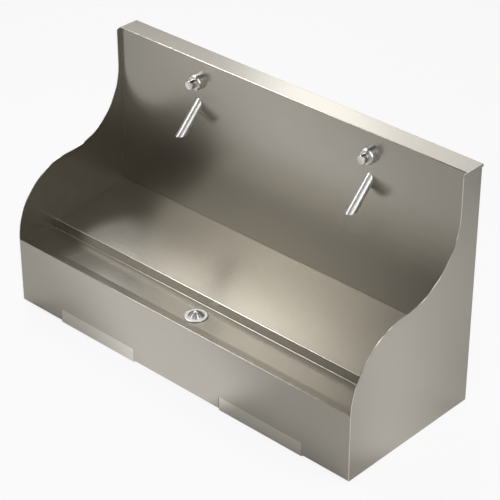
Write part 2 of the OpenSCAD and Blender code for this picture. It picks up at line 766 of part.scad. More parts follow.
valve_cap(right);  // valve_cap_right
inlet_nipple(left);  // inlet_nipple_left
inlet_nipple(right);  // inlet_nipple_right
outlet_pipe(left);  // outlet_pipe_left
outlet_pipe(right);  // outlet_pipe_right
spout_socket(left);  // spout_socket_left
spout_socket(right);  // spout_socket_right
spout(left);  // spout_left
spout(right);  // spout_right
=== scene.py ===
"""Double wudu washing station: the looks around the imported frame."""

import functools
import logging
import math
from dataclasses import dataclass
from enum import Enum
from typing import Iterable, Optional, Sequence

import bmesh
import bpy
from mathutils import Matrix, Vector


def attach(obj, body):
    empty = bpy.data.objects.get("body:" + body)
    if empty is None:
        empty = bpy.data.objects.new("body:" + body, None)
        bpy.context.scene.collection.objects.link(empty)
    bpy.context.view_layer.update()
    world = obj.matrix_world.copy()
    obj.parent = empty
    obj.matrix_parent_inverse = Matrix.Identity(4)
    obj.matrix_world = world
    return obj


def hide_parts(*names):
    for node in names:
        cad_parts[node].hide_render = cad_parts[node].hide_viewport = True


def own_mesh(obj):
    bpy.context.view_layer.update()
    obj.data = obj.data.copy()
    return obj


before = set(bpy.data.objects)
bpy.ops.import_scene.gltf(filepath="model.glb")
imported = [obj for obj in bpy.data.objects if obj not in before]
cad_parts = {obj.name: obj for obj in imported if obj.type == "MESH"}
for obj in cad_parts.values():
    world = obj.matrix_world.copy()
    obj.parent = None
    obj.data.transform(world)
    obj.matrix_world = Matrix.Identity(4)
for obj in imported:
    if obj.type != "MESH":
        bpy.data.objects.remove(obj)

LOG = logging.getLogger("station")
MM = 0.001
Pair = tuple[float, float]
Triple = tuple[float, float, float]

ORIGIN = (0.0, 0.0, 0.0)
X_AXIS = (1.0, 0.0, 0.0)
Z_AXIS = (0.0, 0.0, 1.0)
HERE = Matrix.Identity(4)
TO_Y = Matrix.Rotation(math.radians(-90.0), 4, "X")
TO_SPOUT = Matrix.Rotation(math.radians(135.0), 4, "X")

# Millimetres: two points this near are one place, a block that cuts stands this clear of its
# piece, a turned cutter runs this far over, and a thread is this deep.
NEAR = 0.01
CLEAR = 5.0
OVER = 1.0
THREAD_DEPTH = 1.1
# Degrees that turn a cutter about its own axis, so that its corners miss those of the piece,
# or those of the cutter that it crosses.
TWIST = 1.3
CROSS_TWIST = 2.1


class Side(Enum):
    """The two ends of the station, with the sign of their X."""

    LEFT = -1.0
    RIGHT = 1.0

    @property
    def word(self) -> str:
        """The word that ends the names of this side's pieces."""
        return self.name.lower()


class Brush(Enum):
    """The way the sheet was brushed, as the grain's scale along X, Y and Z."""

    ACROSS = (1.0, 60.0, 60.0)
    DEPTH = (60.0, 1.0, 60.0)

    @property
    def axis(self) -> tuple[float, ...]:
        """The unit vector along the grain."""
        return tuple(float(scale == 1.0) for scale in self.value)


@dataclass(frozen=True)
class Station:
    """Sizes that several pieces share, in millimetres."""

    width: float = 1200.0
    depth: float = 471.5
    height: float = 706.5
    sheet: float = 1.5
    side_sheet: float = 2.0
    fold: float = 2.5
    pitch: float = 600.0
    floor_gap: float = 7.5
    panel: float = 407.0
    tap_height: float = 643.0
    spout_root: float = 573.0
    spout: float = 13.0
    shelf_back: float = 229.3
    shelf_front: float = 210.0
    shelf_edge: float = 135.5
    gutter: float = 181.5
    waste: float = 83.0
    foot_wall: float = 3.0
    foot_height: float = 58.0
    foot_reach: float = 42.0
    foot_half: float = 142.0
    foot_hole: float = 5.5

    @property
    def half(self) -> float:
        """Half of the width between the side panels."""
        return self.width / 2 - self.side_sheet

    def at(self, x: float, y: float, z: float) -> Vector:
        """The place in metres of millimetres from the middle, the apron's face and the floor."""
        return Vector((x, y - self.depth / 2, z)) * MM

    def move(self, x: float = 0.0, y: float = 0.0, z: float = 0.0) -> Matrix:
        """A matrix that puts millimetres about (0, 0, 0) at a place of the station, in metres."""
        return Matrix.Translation(self.at(x, y, z)) @ Matrix.Scale(MM, 4)


STATION = Station()


def shift(x: float = 0.0, y: float = 0.0, z: float = 0.0) -> Matrix:
    """A matrix that only moves."""
    return Matrix.Translation((x, y, z))


def mirrored(inner: float, outer: float) -> list[list[float]]:
    """The ranges of X from inner to outer, on the left and on the right."""
    return [sorted((side.value * inner, side.value * outer)) for side in Side]


# Profiles of turned pieces: pairs of radius and height

def ring(bore: float, radius: float, low: float, high: float) -> list[Pair]:
    """The closed profile of a plain ring or tube."""
    return [(bore, low), (radius, low), (radius, high), (bore, high)]


def stepped(low: float, *steps: Pair) -> list[Pair]:
    """The profile of a stepped shaft.

    Args:
        low: The height where it starts.
        steps: The radius of each step and the height where it ends.

    Returns:
        The profile, from the axis to the axis.
    """
    profile = [(0.0, low)]
    for radius, high in steps:
        profile += [(radius, low), (radius, high)]
        low = high
    return [*profile, (0.0, low)]


def thread(radius: float, low: float, high: float, pitch: float) -> list[Pair]:
    """The profile of a thread, after its first crest.

    Args:
        radius: The radius of its crests.
        low: The height of its first crest.
        high: The height that it stays below.
        pitch: The height from crest to crest.

    Returns:
        The profile of its grooves and crests.
    """
    ridges: list[Pair] = []
    while low < high - pitch:
        ridges += [(radius - THREAD_DEPTH, low + pitch / 2), (radius, low + pitch)]
        low += pitch
    return ridges


class Bench:
    """Makes meshes with bmesh operators and turns them into finished objects."""

    @staticmethod
    def chain(bm: bmesh.types.BMesh, points: Iterable[Sequence[float]]) -> list[bmesh.types.BMEdge]:
        """Joins a few points by edges, in order."""
        verts = [bm.verts.new(p) for p in points]
        return [bm.edges.new(pair) for pair in zip(verts, verts[1:])]

    @staticmethod
    def spin(bm: bmesh.types.BMesh, geom: list, angle: float, steps: int, **how: object) -> list:
        """Spins geometry about Z, unless told otherwise, and gives the last of it."""
        every = {"cent": ORIGIN, "axis": Z_AXIS, "dvec": ORIGIN, "use_merge": False,
                 "use_normal_flip": False, "use_duplicate": False, **how}
        return bmesh.ops.spin(bm, geom=geom, angle=angle, steps=steps, **every)["geom_last"]

    @staticmethod
    def extrude(bm: bmesh.types.BMesh, by: Sequence[float]) -> None:
        """Extrudes the faces of a mesh into a solid.

        Args:
            bm: The mesh.
            by: How far the copy moves.
        """
        made = bmesh.ops.extrude_face_region(bm, geom=bm.faces[:], use_keep_orig=True)
        verts = [v for v in made["geom"] if isinstance(v, bmesh.types.BMVert)]
        bmesh.ops.translate(bm, verts=verts, vec=by)
        bmesh.ops.recalc_face_normals(bm, faces=bm.faces[:])

    @staticmethod
    def block(bm: bmesh.types.BMesh, low: Sequence[float],
              high: Sequence[float]) -> list[bmesh.types.BMVert]:
        """Adds a cuboid, which is a blank to be joined, turned or cut with.

        Args:
            bm: The mesh to add to.
            low: Its lowest corner.
            high: Its highest corner.

        Returns:
            Its vertices.
        """
        lo, hi = Vector(low), Vector(high)
        verts = bmesh.ops.create_cube(bm, size=1.0)["verts"]
        bmesh.ops.scale(bm, vec=hi - lo, verts=verts)
        bmesh.ops.translate(bm, vec=(lo + hi) / 2, verts=verts)
        return verts

    @staticmethod
    def solid(bm: bmesh.types.BMesh, name: str, place: Matrix = HERE) -> bpy.types.Object:
        """Makes an object of a mesh.

        Args:
            bm: The mesh, which is used up.
            name: The object's name.
            place: A matrix that puts it in the row frame.

        Returns:
            The object, whose place is in its mesh.
        """
        bm.transform(place)
        if place.determinant() < 0.0:
            bmesh.ops.reverse_faces(bm, faces=bm.faces[:])
        mesh = bpy.data.meshes.new(name)
        bm.to_mesh(mesh)
        bm.free()
        obj = bpy.data.objects.new(name, mesh)
        bpy.context.scene.collection.objects.link(obj)
        return obj

    @staticmethod
    def outline(name: str, place: Matrix, ends: Pair, start: Pair,
                *moves: Sequence[float]) -> bpy.types.Object:
        """Draws a closed outline of lines and arcs in YZ and runs it out along X.

        Args:
            name: The object's name.
            place: A matrix that puts it in the row frame.
            ends: The two ends of the run.
            start: The outline's first point.
            moves: The end of each line, or the centre of each arc with its turn about +X in
                degrees and the number of its edges.

        Returns:
            The object, before its edges are rounded.
        """
        bm = bmesh.new()
        first = vert = bm.verts.new((ends[0], *start))
        for y, z, *turn in moves:
            if turn:
                last = Bench.spin(bm, [vert], math.radians(turn[0]), turn[1],
                                  cent=(ends[0], y, z), axis=X_AXIS)
                vert = next(v for v in last if isinstance(v, bmesh.types.BMVert))
            else:
                end = bm.verts.new((ends[0], y, z))
                bm.edges.new((vert, end))
                vert = end
        bm.edges.new((vert, first))
        bmesh.ops.contextual_create(bm, geom=bm.edges[:])
        Bench.extrude(bm, (ends[1] - ends[0], 0.0, 0.0))
        return Bench.solid(bm, name, place)

    @staticmethod
    def blocks(name: str, place: Matrix, *corners: tuple[Triple, Triple]) -> bpy.types.Object:
        """Makes an object of cuboids, which joins a piece or cuts it.

        Args:
            name: The object's name.
            place: A matrix that puts it in the row frame.
            corners: The lowest and the highest corner of each.

        Returns:
            The object.
        """
        bm = bmesh.new()
        for low, high in corners:
            Bench.block(bm, low, high)
        return Bench.solid(bm, name, place)

    @staticmethod
    def drills(name: str, place: Matrix, segments: int,
               *holes: tuple[float, float, Matrix]) -> bpy.types.Object:
        """Makes the cutter of one or more round holes.

        Args:
            name: The object's name.
            place: A matrix that puts it in the row frame.
            segments: The segments of each hole.
            holes: The radius of each hole, the drill's length, and the place of its middle.

        Returns:
            The cutter.
        """
        bm = bmesh.new()
        for radius, depth, middle in holes:
            bmesh.ops.create_cone(bm, cap_ends=True, segments=segments, radius1=radius,
                                  radius2=radius, depth=depth, matrix=middle)
        return Bench.solid(bm, name, place)

    @staticmethod
    def prism(name: str, flats: float, low: float, high: float,
              place: Matrix = HERE) -> bpy.types.Object:
        """Makes a hexagonal prism about Z.

        Args:
            name: The object's name.
            flats: The size across its flats.
            low: The height of its lower face.
            high: The height of its upper face.
            place: A matrix that puts it in the row frame.

        Returns:
            The prism.
        """
        bm = bmesh.new()
        bmesh.ops.create_circle(bm, cap_ends=True, segments=6, radius=flats / math.sqrt(3.0),
                                matrix=Matrix.Rotation(math.radians(90.0), 4, "Z"))
        bmesh.ops.translate(bm, vec=(0.0, 0.0, low), verts=bm.verts[:])
        Bench.extrude(bm, (0.0, 0.0, high - low))
        return Bench.solid(bm, name, place)

    @staticmethod
    def turned(name: str, profile: Sequence[Pair], place: Matrix, steps: int = 64,
               closed: bool = False, twist: float = 0.0) -> bpy.types.Object:
        """Turns a solid about its own axis.

        Args:
            name: The object's name.
            profile: Pairs of radius and height.
            place: A matrix that puts its Z axis and its origin in the row frame.
            steps: The number of steps round.
            closed: Whether the profile closes on itself, as a tube's does.
            twist: A turn about its axis, in degrees.

        Returns:
            The object, before its edges are rounded.
        """
        bm = bmesh.new()
        edges = Bench.chain(bm, [(r, 0.0, z) for r, z in profile])
        verts = [edges[0].verts[0]] + [e.verts[1] for e in edges]
        if closed:
            edges.append(bm.edges.new((verts[-1], verts[0])))
        Bench.spin(bm, verts + edges, math.tau, steps, use_merge=True)
        bmesh.ops.remove_doubles(bm, verts=bm.verts[:], dist=1e-5)
        bmesh.ops.recalc_face_normals(bm, faces=bm.faces[:])
        return Bench.solid(bm, name, place @ Matrix.Rotation(math.radians(twist), 4, "Z"))

    @staticmethod
    def carve(obj: bpy.types.Object, added: Sequence[bpy.types.Object] = (),
              cut: Sequence[bpy.types.Object] = (),
              within: Sequence[bpy.types.Object] = ()) -> bpy.types.Object:
        """Keeps what lies within some solids, joins others to it, then cuts others out.

        Args:
            obj: The object.
            added: The solids that are joined.
            cut: The solids that are cut out.
            within: The solids that it is kept within.

        Returns:
            The same object.
        """
        for way, others in (("INTERSECT", within), ("UNION", added), ("DIFFERENCE", cut)):
            for other in others:
                step = obj.modifiers.new(way.lower(), "BOOLEAN")
                step.operation = way
                step.solver = "EXACT"
                step.object = other
        Bench.settle(obj, [*within, *added, *cut])
        return obj

    @staticmethod
    def settle(obj: bpy.types.Object, spent: Iterable[bpy.types.Object] = ()) -> None:
        """Applies an object's modifiers and removes the objects that they used.

        Args:
            obj: The object.
            spent: The objects that are used up.
        """
        bpy.context.view_layer.update()
        graph = bpy.context.evaluated_depsgraph_get()
        mesh = bpy.data.meshes.new_from_object(obj.evaluated_get(graph), depsgraph=graph,
                                               preserve_all_data_layers=True)
        old = obj.data
        obj.modifiers.clear()
        obj.data = mesh
        mesh.name = obj.name
        bpy.data.meshes.remove(old)
        for other in spent:
            data = other.data
            bpy.data.objects.remove(other)
            bpy.data.meshes.remove(data)

    @staticmethod
    def finish(obj: bpy.types.Object, rounding: float = 0.0, angle: float = 30.0,
               segments: int = 2) -> bpy.types.Object:
        """Rounds an object's sharp edges and smooths its shading.

        The rounded edges take the second finish, where the object has one.

        Args:
            obj: The object, dressed.
            rounding: The radius of its edges, in millimetres.
            angle: The least angle of an edge that counts as sharp, in degrees.
            segments: The segments of each rounded edge.

        Returns:
            The same object.
        """
        bm = bmesh.new()
        bm.from_mesh(obj.data)
        bmesh.ops.remove_doubles(bm, verts=bm.verts[:], dist=2e-6)
        bmesh.ops.dissolve_limit(bm, angle_limit=math.radians(0.4), verts=bm.verts[:],
                                 edges=bm.edges[:], use_dissolve_boundaries=False,
                                 delimit={"MATERIAL"})
        bm.to_mesh(obj.data)
        bm.free()
        if rounding:
            bevel = obj.modifiers.new("rounding", "BEVEL")
            bevel.width = rounding * MM
            bevel.segments = segments
            bevel.profile = 0.5
            bevel.limit_method = "ANGLE"
            bevel.angle_limit = math.radians(angle)
            bevel.material = 1 if len(obj.data.materials) > 1 else -1
            bevel.use_clamp_overlap = True
            bevel.miter_outer = "MITER_ARC"
        for polygon in obj.data.polygons:
            polygon.use_smooth = True
        even = obj.modifiers.new("even", "WEIGHTED_NORMAL")
        even.mode = "FACE_AREA"
        even.weight = 100
        even.keep_sharp = True
        Bench.settle(obj)
        obj.data.set_sharp_from_angle(angle=math.radians(40.0))
        return obj

    @staticmethod
    def turn_piece(name: str, profile: Sequence[Pair], place: Matrix, finish: "Finish",
                   rounding: float = 0.3, steps: int = 96, closed: bool = True) -> bpy.types.Object:
        """Turns a whole piece, dresses it and rounds its edges."""
        piece = Bench.turned(name, profile, place, steps, closed)
        return Bench.finish(dress(piece, finish), rounding)


# Finishes

class Nodes:
    """A node tree that is being built, with short ways to add and join nodes."""

    def __init__(self, tree: bpy.types.NodeTree) -> None:
        """Starts on the tree of a material, a world or a group."""
        self.tree = tree

    @classmethod
    def of(cls, owner: bpy.types.ID) -> "Nodes":
        """Empties the tree of a material or a world, and starts on it.

        Args:
            owner: The material or the world.

        Returns:
            The builder of its tree.
        """
        owner.use_nodes = True
        owner.node_tree.nodes.clear()
        return cls(owner.node_tree)

    def add(self, kind: str, inputs: Optional[dict] = None, **values: object) -> bpy.types.Node:
        """Adds a node.

        Args:
            kind: The node's type.
            inputs: The value of each of its inputs, or the output that it is joined to.
            values: The node's properties.

        Returns:
            The node.
        """
        node = self.tree.nodes.new(kind)
        for key, value in values.items():
            setattr(node, key, value)
        for key, value in (inputs or {}).items():
            if isinstance(value, bpy.types.NodeSocket):
                self.tree.links.new(value, node.inputs[key])
            else:
                node.inputs[key].default_value = value
        return node

    def maths(self, way: str, a: object, b: object = 0.0) -> bpy.types.NodeSocket:
        """The result of one sum of two outputs or numbers."""
        return self.add("ShaderNodeMath", {0: a, 1: b}, operation=way).outputs[0]

    def tint(self, mask: bpy.types.NodeSocket, a: Triple, b: Triple) -> bpy.types.NodeSocket:
        """The mix of two colours by a mask from 0 to 1."""
        inputs = {"Factor": mask, 6: (*a, 1.0), 7: (*b, 1.0)}
        return self.add("ShaderNodeMix", inputs, data_type="RGBA").outputs[2]

    def ramp(self, value: bpy.types.NodeSocket, start: Pair, end: Pair,
             way: str = "SMOOTHSTEP") -> bpy.types.NodeSocket:
        """Leads a value from one level to another.

        Args:
            value: The value.
            start: The value and the level at one end.
            end: The value and the level at the other end.
            way: The form of the ramp between them.

        Returns:
            The level.
        """
        inputs = {"Value": value, "From Min": start[0], "From Max": end[0],
                  "To Min": start[1], "To Max": end[1]}
        return self.add("ShaderNodeMapRange", inputs, interpolation_type=way).outputs["Result"]

    def rays(self) -> tuple[bpy.types.NodeSocket, bpy.types.NodeSocket]:
        """The masks of what the camera sees, through glass too, and of what metal mirrors."""
        rays = self.add("ShaderNodeLightPath").outputs
        return (self.maths("MAXIMUM", rays["Is Camera Ray"], rays["Is Transmission Ray"]),
                rays["Is Glossy Ray"])


class Effects:
    """The node groups that several finishes share, each made once."""

    @staticmethod
    def start(name: str, size: str, default: float, *results: str) -> tuple[Nodes, object]:
        """Starts a group whose inputs are a Vector and one size.

        Args:
            name: The group's name.
            size: The name of its size.
            default: The size where a material gives none.
            results: The name of each output value.

        Returns:
            The builder of its tree, and the outputs of its input node.
        """
        tree = bpy.data.node_groups.new(name, "ShaderNodeTree")
        new = tree.interface.new_socket
        new(name="Vector", in_out="INPUT", socket_type="NodeSocketVector")
        new(name=size, in_out="INPUT", socket_type="NodeSocketFloat").default_value = default
        for label in results:
            new(name=label, in_out="OUTPUT", socket_type="NodeSocketFloat")
        nodes = Nodes(tree)
        return nodes, nodes.add("NodeGroupInput").outputs

    @staticmethod
    @functools.cache
    def brushed() -> bpy.types.NodeTree:
        """Brush lines along one axis: a Streak mask and a Height.

        Returns:
            The group, whose Vector input is already stretched along the lines.
        """
        nodes, given = Effects.start("brushed_grain", "Fineness", 14.0, "Streak", "Height")
        fine = nodes.add("ShaderNodeTexNoise", {
            "Vector": given["Vector"], "Scale": given["Fineness"], "Detail": 3.0,
            "Roughness": 0.7}).outputs["Fac"]
        coarse = nodes.add("ShaderNodeTexNoise", {
            "Vector": given["Vector"], "Scale": nodes.maths("MULTIPLY", given["Fineness"], 0.18),
            "Detail": 2.0}).outputs["Fac"]
        streak = nodes.maths("ADD", nodes.maths("MULTIPLY", fine, 0.65),
                             nodes.maths("MULTIPLY", coarse, 0.35))
        nodes.add("NodeGroupOutput", {"Streak": streak, "Height": fine})
        return nodes.tree

    @staticmethod
    @functools.cache
    def handled() -> bpy.types.NodeTree:
        """Faint cloudy marks of wiping and handling: a Mark mask.

        Returns:
            The group.
        """
        nodes, given = Effects.start("handling_marks", "Size", 5.0, "Mark")
        cloud = nodes.add("ShaderNodeTexNoise", {
            "Vector": given["Vector"], "Scale": given["Size"], "Detail": 4.0,
            "Distortion": 0.6}).outputs["Fac"]
        nodes.add("NodeGroupOutput", {"Mark": nodes.ramp(cloud, (0.35, 0.0), (0.7, 1.0), "LINEAR")})
        return nodes.tree


@dataclass(frozen=True)
class Finish:
    """A named finish, whose material is made once. Colours are linear."""

    name: str
    colour: Triple
    roughness: float

    def make(self) -> bpy.types.Material:
        """Builds the material, or finds it if it is there already.

        Returns:
            The material.
        """
        material = bpy.data.materials.get(self.name)
        if material is None:
            material = bpy.data.materials.new(self.name)
            nodes = Nodes.of(material)
            shader = self.shade(nodes, nodes.add("ShaderNodeTexCoord").outputs["Object"])
            nodes.add("ShaderNodeOutputMaterial", {"Surface": shader.outputs[0]})
        return material

    def shade(self, nodes: Nodes, place: bpy.types.NodeSocket) -> bpy.types.Node:
        """Builds the shader's node, from the material's nodes and the place on the piece."""
        raise NotImplementedError


@dataclass(frozen=True)
class Metal(Finish):
    """A metal finish: brushed, turned or polished by its values.

    The grain runs along the axis whose stretch is smallest.
    """

    stretch: Triple = (1.0, 1.0, 1.0)
    fineness: float = 300.0
    streak: float = 0.04
    tone: float = 0.02
    relief: float = 0.0
    marks: float = 0.02
    smear: float = 0.0
    grain_axis: tuple[float, ...] = X_AXIS

    def shade(self, nodes: Nodes, place: bpy.types.NodeSocket) -> bpy.types.Node:
        """Builds the metal's shader.

        Args:
            nodes: The material's nodes.
            place: The place on the piece.

        Returns:
            The shader's node.
        """
        along = nodes.add("ShaderNodeMapping", {"Vector": place, "Scale": self.stretch})
        grain = nodes.add("ShaderNodeGroup", {
            "Vector": along.outputs["Vector"], "Fineness": self.fineness},
            node_tree=Effects.brushed()).outputs
        marks = nodes.add("ShaderNodeGroup", {"Vector": place}, node_tree=Effects.handled())
        dark, light = (tuple(min(1.0, c * (1.0 + way * self.tone)) for c in self.colour)
                       for way in (-1.0, 1.0))
        lines = nodes.maths("MULTIPLY", nodes.maths("SUBTRACT", grain["Streak"], 0.5), self.streak)
        cloud = nodes.maths("MULTIPLY", marks.outputs["Mark"], self.marks)
        rough = nodes.maths("ADD", nodes.maths("ADD", lines, cloud), self.roughness)
        bump = nodes.add("ShaderNodeBump", {
            "Strength": self.relief, "Distance": MM, "Height": grain["Height"]})
        shader = nodes.add("ShaderNodeBsdfPrincipled", {
            "Base Color": nodes.tint(grain["Streak"], dark, light), "Metallic": 1.0,
            "Roughness": rough, "Normal": bump.outputs["Normal"]})
        if self.smear:
            surface = nodes.add("ShaderNodeNewGeometry").outputs["Normal"]
            across = nodes.add("ShaderNodeVectorMath", {0: surface, 1: self.grain_axis},
                               operation="CROSS_PRODUCT")
            shader.inputs["Anisotropic"].default_value = self.smear
            nodes.tree.links.new(across.outputs[0], shader.inputs["Tangent"])
        return shader


@dataclass(frozen=True)
class Rubber(Finish):
    """Moulded rubber with a faint bloom."""

    bloom: Triple = (0.05, 0.05, 0.052)
    cloud: float = 60.0
    uneven: float = 0.15

    def shade(self, nodes: Nodes, place: bpy.types.NodeSocket) -> bpy.types.Node:
        """Builds the rubber's shader.

        Args:
            nodes: The material's nodes.
            place: The place on the piece.

        Returns:
            The shader's node.
        """
        mark = nodes.add("ShaderNodeGroup", {"Vector": place, "Size": self.cloud},
                         node_tree=Effects.handled()).outputs["Mark"]
        rough = nodes.maths("ADD", nodes.maths("MULTIPLY", mark, self.uneven), self.roughness)
        return nodes.add("ShaderNodeBsdfPrincipled", {
            "Base Color": nodes.tint(mark, self.colour, self.bloom), "Roughness": rough})


class Finishes:
    """The finishes of this station."""

    @staticmethod
    def satin(way: Brush) -> Metal:
        """Satin sheet, brushed one way."""
        return Metal(f"satin_sheet_{way.name.lower()}", (0.46, 0.436, 0.388), 0.25, way.value,
                     fineness=90.0, streak=0.05, tone=0.04, relief=0.01, marks=0.015, smear=0.3,
                     grain_axis=way.axis)

    # Brighter than the sheet on the rounded edges. This is partly real wear and partly a painted
    # highlight for the light that thin edges catch.
    EDGE = Metal("worn_edge", (0.58, 0.55, 0.49), 0.30, fineness=200.0, streak=0.06, tone=0.04)
    # Far brighter than the sheet on the side panels' cut edges and the apron's rounded edges. This
    # is a painted highlight for the thin bright lines that these edges show.
    RIM = Metal("bright_rim", (0.92, 0.90, 0.86), 0.17, fineness=200.0, streak=0.06, tone=0.04)
    MILL = Metal("mill_sheet", (0.50, 0.48, 0.455), 0.38, (1.0, 40.0, 40.0), fineness=30.0,
                 streak=0.10, tone=0.05, relief=0.04, marks=0.06)
    FASTENER = Metal("turned_fastener", (0.58, 0.57, 0.55), 0.28, fineness=400.0, streak=0.08,
                     tone=0.05, relief=0.02, marks=0.04)
    SPRING = Metal("drawn_wire", (0.40, 0.40, 0.41), 0.30, fineness=500.0, streak=0.08,
                   tone=0.06, relief=0.02, marks=0.04)
    POLISHED = Metal("polished_steel", (0.40, 0.385, 0.35), 0.20, streak=0.03)
    CHROME = Metal("bright_chrome", (0.88, 0.87, 0.85), 0.34, fineness=200.0, streak=0.02)
    SATIN_CHROME = Metal("satin_chrome", (0.78, 0.76, 0.73), 0.20)
    SPOUT = Metal("spout_chrome", (0.80, 0.79, 0.76), 0.42)
    BRASS = Metal("machined_brass", (0.72, 0.52, 0.24), 0.26, fineness=260.0, streak=0.08,
                  tone=0.06, relief=0.02, marks=0.08)
    # Lighter and glossier than the sheet. This is partly the plates' own finish and partly a
    # painted reflection of the light they catch below the apron.
    FOOT = Metal("foot_plate", (0.65, 0.62, 0.56), 0.18, (1.0, 60.0, 60.0), fineness=90.0,
                 tone=0.04, relief=0.01)
    RUBBER = Rubber("black_rubber", (0.018, 0.018, 0.02), 0.62)


def dress(obj: bpy.types.Object, *finishes: Finish) -> bpy.types.Object:
    """Gives an object its finishes.

    Args:
        obj: The object.
        finishes: One finish for each material slot, the second for its edges.

    Returns:
        The same object.
    """
    obj.data.materials.clear()
    for finish in finishes:
        obj.data.materials.append(finish.make())
    return obj


def settle_in(obj: bpy.types.Object, body: str = "station") -> bpy.types.Object:
    """Ties a new piece to its body and to the node that it stands for.

    A piece has the name of its node, with the word for its form behind it.

    Args:
        obj: The piece.
        body: The body that it rides on.

    Returns:
        The same object.
    """
    node = obj.name.rpartition("_")[0]
    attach(obj, body)
    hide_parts(node)
    LOG.info("%s stands for %s on %s", obj.name, node, body)
    return obj


# Sheet metal

@dataclass
class FoldedSheet:
    """A sheet folded along a path and run out along one axis.

    The path is given in millimetres, as Y and Z, with the radius of the fold at each of its
    points. The run is along X, before placing.
    """

    path: Sequence[Pair]
    folds: Sequence[float]
    start: float
    end: float
    wall: float = STATION.sheet
    outward: bool = False
    fold_steps: int = 4

    def blank(self) -> bmesh.types.BMesh:
        """Folds the sheet as a surface with no thickness.

        Returns:
            The mesh, in millimetres.
        """
        bm = bmesh.new()
        corners = [Vector((self.start, *point)) for point in self.path]
        made = bmesh.ops.extrude_edge_only(bm, edges=Bench.chain(bm, corners))
        verts = [v for v in made["geom"] if isinstance(v, bmesh.types.BMVert)]
        bmesh.ops.translate(bm, verts=verts, vec=(self.end - self.start, 0.0, 0.0))
        for radius in sorted({r for r in self.folds if r}):
            places = [c for c, r in zip(corners, self.folds) if r == radius]
            lines = [e for e in bm.edges if abs(e.verts[0].co.x - e.verts[1].co.x) > NEAR
                     and any((min(e.verts, key=lambda v: v.co.x).co - p).length < NEAR
                             for p in places)]
            bmesh.ops.bevel(bm, geom=lines, offset=radius, offset_type="OFFSET",
                            segments=self.fold_steps, profile=0.5, affect="EDGES",
                            clamp_overlap=True, material=-1)
        bmesh.ops.recalc_face_normals(bm, faces=bm.faces[:])
        return bm

    def make(self, name: str, place: Matrix) -> bpy.types.Object:
        """Makes the sheet as an object with its wall.

        Args:
            name: The object's name.
            place: A matrix that puts it in the row frame.

        Returns:
            The object, before its edges are rounded.
        """
        bm = self.blank()
        (y0, z0), (y1, z1) = self.path[:2]
        beside = Vector(X_AXIS).cross(Vector((0.0, y1 - y0, z1 - z0)))
        middle = Vector(((self.start + self.end) / 2, (y0 + y1) / 2, (z0 + z1) / 2))
        face = min(bm.faces, key=lambda f: (f.calc_center_median() - middle).length)
        if (face.normal.dot(beside) > 0.0) == self.outward:
            bmesh.ops.reverse_faces(bm, faces=bm.faces[:])
        obj = Bench.solid(bm, name, place)
        wall = obj.modifiers.new("wall", "SOLIDIFY")
        wall.thickness = self.wall * MM
        wall.offset = -1.0
        wall.use_even_offset = True
        Bench.settle(obj)
        return obj


@dataclass
class SidePanel:
    """An S-curved side panel with its front return and its rear flange."""

    side: Side
    depth: float = 466.5
    curve: float = 197.5
    curve_mid: float = 400.0
    curve_steps: int = 56
    crest: float = 8.0
    crest_steps: int = 8
    front_return: float = 18.0
    front_return_top: float = 179.0
    rear_flange: float = 25.0
    rear_flange_top: float = 690.5
    hole: float = 4.5
    hole_heights: Pair = (120.0, 640.0)

    def build(self) -> bpy.types.Object:
        """Builds and dresses the panel.

        Returns:
            The finished object.
        """
        s = STATION
        inner, outer, low, over = s.half, s.width / 2, s.floor_gap, s.side_sheet / 2
        place = s.move() @ Matrix.Diagonal((self.side.value, 1.0, 1.0, 1.0))
        panel = Bench.outline(
            f"side_panel_{self.side.word}_sheet", place, (inner, outer), (0.0, low),
            (0.0, self.curve_mid - self.curve),
            (self.curve, self.curve_mid - self.curve, -90.0, self.curve_steps),
            (self.curve, self.curve_mid + self.curve, 90.0, self.curve_steps),
            (2 * self.curve, s.height - self.crest),
            (2 * self.curve + self.crest, s.height - self.crest, -90.0, self.crest_steps),
            (self.depth, s.height),
            (self.depth, low))
        flanges = Bench.blocks(
            "flanges", place,
            ((inner - self.front_return, s.sheet, low),
             (inner + over, s.sheet + s.side_sheet, self.front_return_top)),
            ((inner - self.rear_flange, self.depth - s.side_sheet, low),
             (inner + over, self.depth, self.rear_flange_top)))
        holes = Bench.drills("holes", place, 32, *(
            (self.hole, 4 * s.side_sheet,
             shift(inner - self.rear_flange / 2, self.depth, height) @ TO_Y)
            for height in self.hole_heights))
        dress(Bench.carve(panel, [flanges], [holes]), Finishes.satin(Brush.DEPTH), Finishes.RIM)
        rim = s.at(inner, 0.0, 0.0).x
        # The panel's edge faces take the rim's painted highlight.
        for face in panel.data.polygons:
            if abs(face.normal.x) < 0.5 and abs(face.center.x) > rim:
                face.material_index = 1
        return Bench.finish(panel, 0.45)


@dataclass
class BackPanel:
    """The upright panel with its ledge and lip, and the holes for taps and spouts."""

    lip: float = 9.0
    side_depth: float = 466.9
    side_low: float = 200.0
    tap_hole: float = 17.0
    tap_drill: float = 20.0
    spout_hole: float = 13.1
    spout_drill: float = 60.0

    def build(self) -> bpy.types.Object:
        """Builds and dresses the panel.

        Returns:
            The finished object.
        """
        s = STATION
        path = [(s.panel, s.shelf_back), (s.panel, s.height), (s.depth, s.height),
                (s.depth, s.height - self.lip)]
        sheet = FoldedSheet(path, (0.0, s.fold, s.fold, 0.0), -s.width / 2, s.width / 2)
        panel = sheet.make("back_panel_sheet", s.move())
        corners = Bench.blocks("corners", s.move(), *(
            ((low, s.panel - CLEAR, self.side_low), (high, self.side_depth, s.height + CLEAR))
            for low, high in mirrored(s.half, s.width / 2 + CLEAR)))
        holes = Bench.drills("holes", s.move(), 48, *(
            (radius, depth, shift(side.value * s.pitch / 2, s.panel, height) @ turn)
            for side in Side for radius, depth, height, turn in (
                (self.tap_hole, self.tap_drill, s.tap_height, TO_Y),
                (self.spout_hole, self.spout_drill, s.spout_root, TO_SPOUT))))
        Bench.carve(panel, cut=[corners, holes])
        dress(panel, Finishes.satin(Brush.ACROSS), Finishes.EDGE)
        return Bench.finish(panel, 0.3, angle=50.0)


